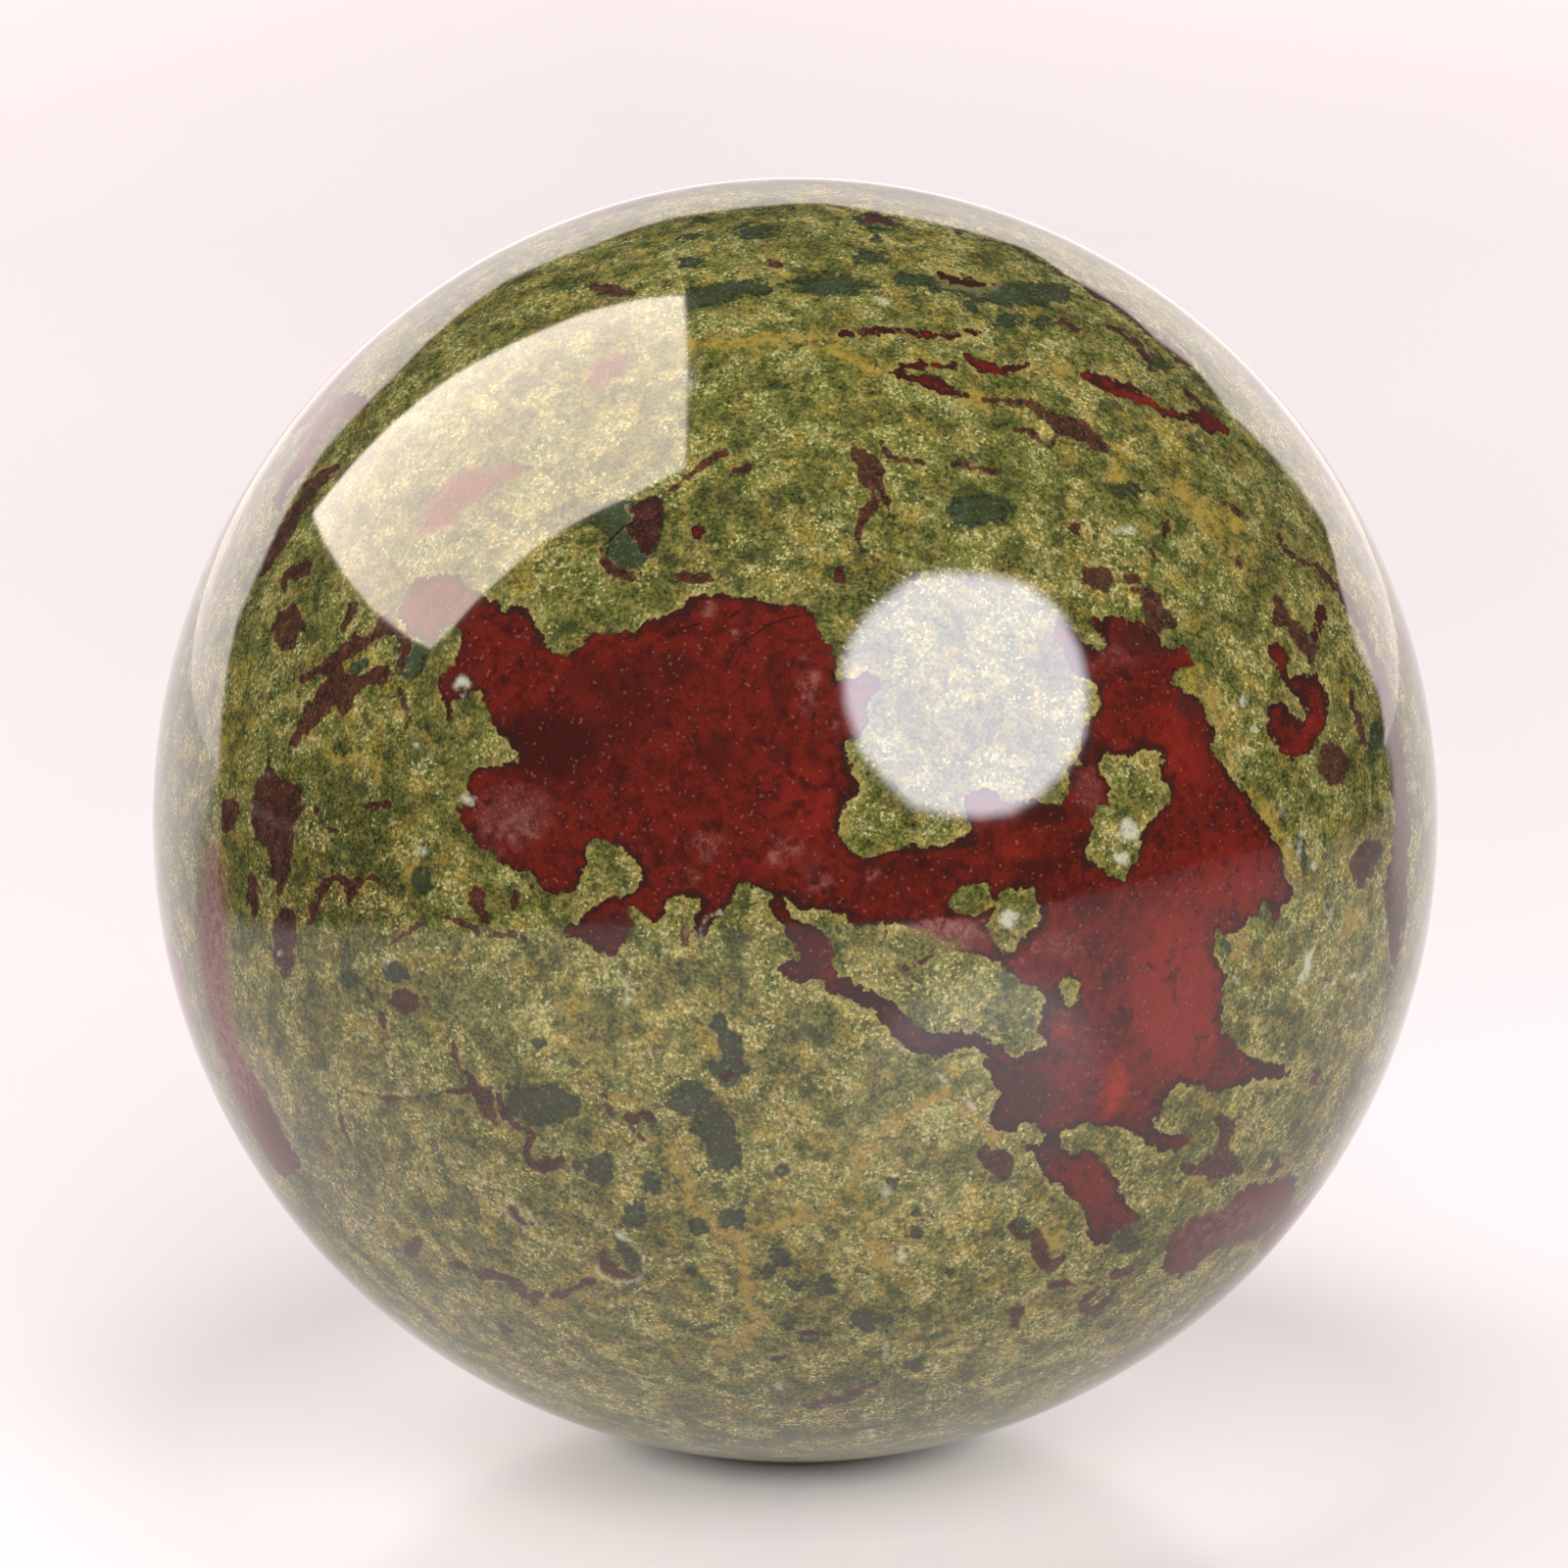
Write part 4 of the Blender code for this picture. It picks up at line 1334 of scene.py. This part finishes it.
def tone_strength(points, name):
    """How strong one change of tone is at each point: traced in front, and wandering noise behind."""
    share = front_share(points)
    seen = share > 0
    pixels = photo_pixels(points[seen])
    front = np.zeros(len(points))
    strongest = np.zeros(len(pixels))
    for tone in TONES[name]:
        fade = np.clip(1 - spot_share(pixels, tone), 0, 1)
        fade = np.minimum(1.0, TONE_STEEPNESS * fade) ** TONE_POWER
        strongest = np.maximum(strongest, tone[5] * fade)
    front[seen] = strongest
    offset = Vector((HIDDEN_SHIFT * list(TONES).index(name), 0.0, 0.0))
    back = np.zeros(len(points))
    level = HIDDEN_LEVELS.get(name, HIDDEN_LEVEL)
    for row in np.flatnonzero(share < 1):
        place = Vector((points[row] - CENTRE) / MM) / HIDDEN_LENGTH
        back[row] = min(1.0, max(0.0, level + HIDDEN_CONTRAST * noise.noise(place + offset)))
    return share * front + (1 - share) * back


# The ball's mesh.

BLANK_SUBDIVISIONS = 6
HALVINGS = 5


def ball_blank(material):
    """The ball with its ground flat, made by a node tree with named sizes, as a plain mesh."""
    tree = bpy.data.node_groups.new("ball_blank", "GeometryNodeTree")
    tree.interface.new_socket("Geometry", in_out="OUTPUT", socket_type="NodeSocketGeometry")
    sizes = {
        "Radius": ("NodeSocketFloat", RADIUS),
        "Centre height": ("NodeSocketFloat", float(CENTRE[2])),
        "Subdivisions": ("NodeSocketInt", BLANK_SUBDIVISIONS),
        "Stone": ("NodeSocketMaterial", material),
    }
    keys = {}
    for name, (kind, size) in sizes.items():
        keys[name] = tree.interface.new_socket(name, in_out="INPUT", socket_type=kind).identifier
    graph = Graph(tree)
    given = tree.nodes.new("NodeGroupInput")
    size = {name: Value(graph, given.outputs[name]) for name in sizes}
    shape = {"Radius": size["Radius"], "Subdivisions": size["Subdivisions"]}
    ball = graph.add("GeometryNodeMeshIcoSphere", {}, shape)
    place = graph.add("GeometryNodeInputPosition")
    x, y, z = (graph.add("ShaderNodeSeparateXYZ", {}, {0: place}, output=axis) for axis in range(3))
    ground = z.maths("MAXIMUM", z + size["Centre height"], 0.0)
    place = graph.add("ShaderNodeCombineXYZ", {}, {"X": x, "Y": y, "Z": ground})
    stood = graph.add("GeometryNodeSetPosition", {}, {"Geometry": ball, "Position": place})
    real = graph.add("GeometryNodeRealizeInstances", {}, {"Geometry": stood})
    stone = graph.add("GeometryNodeSetMaterial", {}, {"Geometry": real, "Material": size["Stone"]})
    result = tree.nodes.new("NodeGroupOutput")
    tree.links.new(stone.socket, result.inputs["Geometry"])

    holder = add_object("ball_blank", bpy.data.meshes.new("ball_blank"))
    modifier = holder.modifiers.new("ball_blank", "NODES")
    modifier.node_group = tree
    for name, key in keys.items():
        modifier[key] = sizes[name][1]
    bpy.context.view_layer.update()
    evaluated = holder.evaluated_get(bpy.context.evaluated_depsgraph_get())
    mesh = bpy.data.meshes.new_from_object(evaluated)
    bpy.data.objects.remove(holder)
    return mesh


def settled(points):
    """Points moved straight out onto the ball, and up onto its flat."""
    points = CENTRE + RADIUS * unit(points - CENTRE)
    points[:, 2] = np.maximum(points[:, 2], 0.0)
    return points


def halved(points, faces, spacing):
    """Halves the edges that are longer than the spacing wanted at their ends, and rebuilds the triangles."""
    edges = np.stack((faces, np.roll(faces, -1, axis=1)), axis=2).reshape(-1, 2)
    edges, owner = np.unique(np.sort(edges, axis=1), axis=0, return_inverse=True)
    owner = owner.reshape(-1, 3)
    length = np.linalg.norm(points[edges[:, 0]] - points[edges[:, 1]], axis=1) / MM
    split = length > spacing[edges].min(axis=1)
    while True:
        twice = split[owner].sum(axis=1) == 2
        if not twice.any():
            break
        split[owner[twice].ravel()] = True
    middles = settled(points[edges[split]].mean(axis=1))
    number = np.full(len(edges), -1)
    number[split] = len(points) + np.arange(split.sum())
    halves = number[owner]
    count = (halves >= 0).sum(axis=1)
    a, b, c = faces[count == 3].T
    ab, bc, ca = halves[count == 3].T
    parts = [faces[count == 0]]
    parts += [np.stack(trio, axis=1) for trio in ((a, ab, ca), (ab, b, bc), (ca, bc, c), (ab, bc, ca))]
    for side in range(3):
        one = (count == 1) & (halves[:, side] >= 0)
        start, end, far = (faces[one, (side + turn) % 3] for turn in range(3))
        middle = halves[one, side]
        parts += [np.stack((start, middle, far), axis=1), np.stack((middle, end, far), axis=1)]
    return middles, np.concatenate(parts)


def ball_mesh(material):
    """The ball, its triangles made small along the edges of the markings, which it carries as attributes."""
    blank = ball_blank(material)
    points = np.empty(len(blank.vertices) * 3)
    blank.vertices.foreach_get("co", points)
    points = points.reshape(-1, 3)
    faces = np.array([tuple(face.vertices) for face in blank.polygons])
    hidden = hidden_markings()
    depths, spacing = marking_depths(points, hidden)
    for step in range(HALVINGS):
        middles, faces = halved(points, faces, spacing)
        if not len(middles):
            break
        more, more_spacing = marking_depths(middles, hidden)
        points = np.concatenate((points, middles))
        spacing = np.concatenate((spacing, more_spacing))
        depths = {kind: np.concatenate((depths[kind], more[kind])) for kind in depths}
    mesh = bpy.data.meshes.new("polished_ball")
    mesh.from_pydata(points.tolist(), [], faces.tolist())
    mesh.materials.append(material)
    for kind, depth in depths.items():
        mesh.attributes.new(kind, "FLOAT", "POINT").data.foreach_set("value", depth)
    for name in TONES:
        mesh.attributes.new(name, "FLOAT", "POINT").data.foreach_set("value", tone_strength(points, name))
    normals = unit(points - CENTRE)[faces]
    normals[np.all(points[faces][:, :, 2] <= 0, axis=1)] = (0.0, 0.0, -1.0)
    mesh.shade_smooth()
    mesh.normals_split_custom_set(normals.reshape(-1, 3).tolist())
    return mesh


# The stone.

MATRIX_STOPS = (
    (0.10, paint(40, 44, 24)),
    (0.32, paint(78, 78, 40)),
    (0.48, paint(112, 106, 56)),
    (0.62, paint(134, 124, 68)),
    (0.80, paint(164, 153, 96)),
    (0.98, paint(204, 200, 142)),
)
MOSS_TINT = (0.76, 0.90, 0.72, 1.0)
GOLD_TINT = (1.13, 1.05, 0.58, 1.0)
BROWN_TINT = (1.0, 0.80, 0.70, 1.0)
# The colour of pale grains, also used for painted sparkle.
PALE_GRAIN_AND_SPARKLE = paint(204, 200, 136)
OCHRE = paint(168, 143, 62)
OCHRE_BROWN = paint(152, 118, 54)
GREEN_CORE = paint(50, 58, 34)
GREEN_EDGE = paint(28, 34, 22)
TEAL = paint(48, 63, 46)
GOLD_HALO = paint(170, 154, 92)
MAROON_CORE = paint(74, 35, 30)
MAROON_DARK = paint(50, 25, 22)
RED = paint(88, 27, 18)
RED_BRIGHT = paint(134, 37, 25)
RED_DEEP = paint(52, 19, 15)
RED_MAUVE = paint(112, 58, 52)
RED_BROWN = paint(66, 32, 28)
RED_ORANGE = paint(156, 48, 28)
RED_CLOUD = paint(150, 104, 94)
RED_RIM = paint(44, 26, 22)
# The chalk white of pale grains, also used for the painted glints.
CHALK_AND_GLINT_WHITE = paint(204, 206, 182)
CRACK_DARK = paint(34, 14, 13)
POLISH_ROUGHNESS = 0.055
POLISH_VARIATION = 0.03
STONE_IOR = 1.6

# How fine the stone's patterns are, as a count to the millimetre.
PATCHES_PER_MM = 0.5
MOTTLES_PER_MM = 1.6
GRAINS_PER_MM = 6.0
RAGS_PER_MM = 1.8
SPECKS_PER_MM = 9.0
HUES_PER_MM = 0.8
MOSS_PER_MM = 0.95
WISPS_PER_MM = 2.4
STAINS_PER_MM = 1.5
THREADS_PER_MM = 0.75
THREAD_SHARPNESS = 26.0
THREAD_BEND = 0.6

# How ragged the outlines of each kind of marking are, in mm.
RAGGED = {"ochre": 1.1, "dark_green": 0.45, "maroon": 0.35, "jasper": 0.45, "pale": 0.35, "crack": 0.05}


class Stone:
    """The layers of the stone's colour, from the green ground up to the cracks, with painted shade and
    painted glints among them.

    In the recipes, rise(a, b) says where a pattern starts and where it is full, and a factor how well it
    covers. Patterns vary round 0.5, and depths are in mm.
    """

    def __init__(self, graph):
        self.graph = graph
        self.place = graph.add("ShaderNodeTexCoord", output="Object")
        self.patchy = self.noise(PATCHES_PER_MM, detail=3, roughness=0.6)
        self.mottle = self.noise(MOTTLES_PER_MM, detail=3, roughness=0.65)
        self.grain = self.noise(GRAINS_PER_MM, detail=2, roughness=0.7)
        rags = self.noise(RAGS_PER_MM, detail=3, roughness=0.6)
        self.ragged = rags * 2.4 + self.grain * 0.5 - 1.45
        sockets = {"Vector": self.place, "Scale": SPECKS_PER_MM / MM}
        cells = graph.add("ShaderNodeTexVoronoi", {}, sockets, output="Color")
        self.chance = [graph.add("ShaderNodeSeparateColor", {}, {0: cells}, output=part) for part in range(3)]

    def noise(self, per_mm, detail, roughness, bend=0.0):
        sockets = {
            "Vector": self.place,
            "Scale": per_mm / MM,
            "Detail": detail,
            "Roughness": roughness,
            "Distortion": bend,
        }
        return self.graph.add("ShaderNodeTexNoise", {}, sockets)

    def threads(self):
        """Fine branching lines: 1 on a line and 0 beside it."""
        field = self.noise(THREADS_PER_MM, detail=3, roughness=0.55, bend=THREAD_BEND)
        return (1.0 - (field - 0.5).size() * THREAD_SHARPNESS).clamped()

    def depth(self, kind):
        """How deep inside a marking, in mm, with its outline made ragged."""
        return self.graph.attribute(kind) + self.ragged * RAGGED[kind]

    def tone(self, name, noisy=0.5):
        """A traced change of tone, broken up by the mottle."""
        strength = self.graph.attribute(name)
        return (strength + (self.mottle - 0.5) * noisy * 2.0 * strength.rise(0.0, 0.4)).clamped()

    def matrix(self):
        """The green ground: a mass of fine grains, here mossy, there golden or brown, darkened in places by
        painted shade and flecked with painted sparkle.
        """
        blend = self.graph.blend
        tone = 0.5 + (self.patchy - 0.5) * 0.7 + (self.mottle - 0.5) * 0.75 + (self.grain - 0.5) * 1.0
        tone = tone + (self.chance[0] - 0.5) * 0.20
        # This tone darkens the ground and tints it brown: darker stone in places, and painted shade on the
        # left side and low over the foot.
        tone = tone + self.tone("light") * 0.10 - self.tone("shaded") * 0.12
        colour = self.graph.ramp(tone, MATRIX_STOPS)
        hue = self.noise(HUES_PER_MM, detail=4, roughness=0.6)
        moss = (0.56 - hue) * 8.0 + self.tone("green") * 0.7
        colour = blend(moss.clamped(), colour, MOSS_TINT, "MULTIPLY")
        gold = (hue - 0.545) * 11.0 + self.tone("gold") * 0.6
        colour = blend(gold.clamped() * 0.8, colour, GOLD_TINT, "MULTIPLY")
        brown = (self.patchy - 0.58) * 3.0 + self.tone("shaded") * 0.4
        colour = blend(brown.clamped(), colour, BROWN_TINT, "MULTIPLY")
        moss_spots = self.noise(MOSS_PER_MM, detail=3, roughness=0.6).rise(0.56, 0.64) * 0.6
        colour = blend(moss_spots, colour, GREEN_CORE)
        pale = self.threads() * self.patchy.rise(0.46, 0.60)
        colour = blend(pale * 0.5 * self.grain.rise(0.3, 0.6), colour, PALE_GRAIN_AND_SPARKLE)
        # Bright specks on the grain: painted sparkle, as of glints on the polish.
        painted_sparkle = self.chance[1].rise(0.82, 0.90) * self.grain.rise(0.40, 0.54) * self.patchy.rise(0.44, 0.56)
        return blend(painted_sparkle * 0.8, colour, PALE_GRAIN_AND_SPARKLE)

    def ochre(self, colour):
        depth = self.depth("ochre")
        run = depth.rise(-0.30, 0.22) * (0.30 + 0.5 * self.mottle.rise(0.38, 0.6))
        stain = self.graph.blend(self.patchy.rise(0.45, 0.62), OCHRE, OCHRE_BROWN)
        return self.graph.blend(run, colour, stain)

    def dark_green(self, colour):
        blend = self.graph.blend
        depth = self.depth("dark_green")
        core = blend(self.patchy.rise(0.42, 0.58), GREEN_CORE, TEAL)
        core = blend(depth.rise(0.34, 0.04) * self.mottle.rise(0.60, 0.40), core, GREEN_EDGE)
        core = blend(self.grain.rise(0.56, 0.8) * 0.3, core, PALE_GRAIN_AND_SPARKLE)
        return blend(depth.rise(-0.06, 0.10) * 0.92, colour, core)

    def maroon(self, colour):
        blend = self.graph.blend
        depth = self.depth("maroon")
        halo = depth.rise(-0.14, -0.05) * depth.rise(0.02, -0.03) * self.mottle.rise(0.46, 0.62)
        colour = blend(halo * 0.45, colour, GOLD_HALO)
        core = blend(self.mottle.rise(0.4, 0.62), MAROON_DARK, MAROON_CORE)
        core = blend(self.grain.rise(0.54, 0.72) * 0.35, core, RED_CLOUD)
        return blend(depth.rise(-0.07, 0.07) * 0.92, colour, core)

    def red(self):
        """The jasper's own colours: even red, with deep, bright, mauve and brown places and pale clouds."""
        blend = self.graph.blend
        tone = 0.5 + (self.mottle - 0.5) * 1.2 + (self.grain - 0.5) * 0.8
        colour = blend(tone.rise(0.30, 0.75) * 0.35, RED, RED_BRIGHT)
        colour = blend(tone.rise(0.52, 0.28) * 0.45, colour, RED_DEEP)
        colour = blend(self.tone("bright", 0.3) * 0.85, colour, RED_BRIGHT)
        colour = blend(self.tone("deep", 0.7) * 0.9, colour, RED_DEEP)
        colour = blend(self.tone("mauve", 0.6) * 0.75, colour, RED_MAUVE)
        colour = blend(self.tone("brown", 0.4) * 0.85, colour, RED_BROWN)
        colour = blend(self.tone("orange", 0.5) * 0.85, colour, RED_ORANGE)
        wisps = self.noise(WISPS_PER_MM, detail=3, roughness=0.7).rise(0.38, 0.60)
        wisps = self.tone("clouds", 1.0) * wisps
        colour = blend(wisps * 0.8, colour, RED_CLOUD)
        dark = self.noise(STAINS_PER_MM, detail=4, roughness=0.7).rise(0.52, 0.62)
        dark = dark * self.patchy.rise(0.40, 0.56)
        colour = blend(dark * 0.75, colour, RED_DEEP)
        specks = self.chance[1].rise(0.60, 0.86) * self.tone("mauve", 1.0) * self.grain.rise(0.40, 0.56)
        colour = blend(specks * 0.45, colour, RED_CLOUD)
        dots = self.chance[2].rise(0.965, 0.98) * self.grain.rise(0.4, 0.5)
        return blend(dots * 0.35, colour, RED_CLOUD)

    def jasper(self, colour):
        """The red patches, with a pale line outside their edge and a dark one inside it."""
        blend = self.graph.blend
        depth = self.depth("jasper")
        soft = self.graph.attribute("mauve") * 0.45
        halo = depth.rise(-0.34, -0.12) * depth.rise(0.0, -0.05) * self.patchy.rise(0.40, 0.55)
        colour = blend(halo * 0.3, colour, GOLD_HALO)
        colour = blend(depth.rise(-0.05 - soft, 0.05 + soft), colour, self.red())
        width = (self.patchy - 0.36) * 1.5
        rim = depth.rise(-0.06, 0.02) * (1.0 - (depth - width).rise(-0.12, 0.16))
        return blend(rim * 0.8 * (1.0 - soft * 2.5).clamped(), colour, RED_RIM)

    def pale(self, colour):
        # Pale veins and grains in chalk white, and painted glints where some of the spots stand for light
        # caught in pits.
        depth = self.depth("pale")
        return self.graph.blend(depth.rise(-0.12, 0.26) * self.mottle.rise(0.20, 0.50) * 0.8, colour, CHALK_AND_GLINT_WHITE)

    def cracks(self, colour):
        return self.graph.blend(self.depth("crack").rise(-0.03, 0.03) * 0.8, colour, CRACK_DARK)


def polished_jasper():
    material = bpy.data.materials.new("polished_jasper")
    material.use_nodes = True
    graph = Graph(material.node_tree)
    stone = Stone(graph)
    colour = stone.matrix()
    for layer in (stone.ochre, stone.dark_green, stone.maroon, stone.jasper, stone.pale, stone.cracks):
        colour = layer(colour)
    sockets = {
        "Base Color": colour,
        "Roughness": POLISH_ROUGHNESS + (stone.mottle - 0.5) * POLISH_VARIATION,
        "IOR": STONE_IOR,
    }
    graph.surface(graph.add("ShaderNodeBsdfPrincipled", {}, sockets))
    return material


def add_ball():
    ball = add_object("polished_ball", ball_mesh(polished_jasper()))
    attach(ball, "root")
    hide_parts("jasper_sphere")


add_studio()
add_ball()
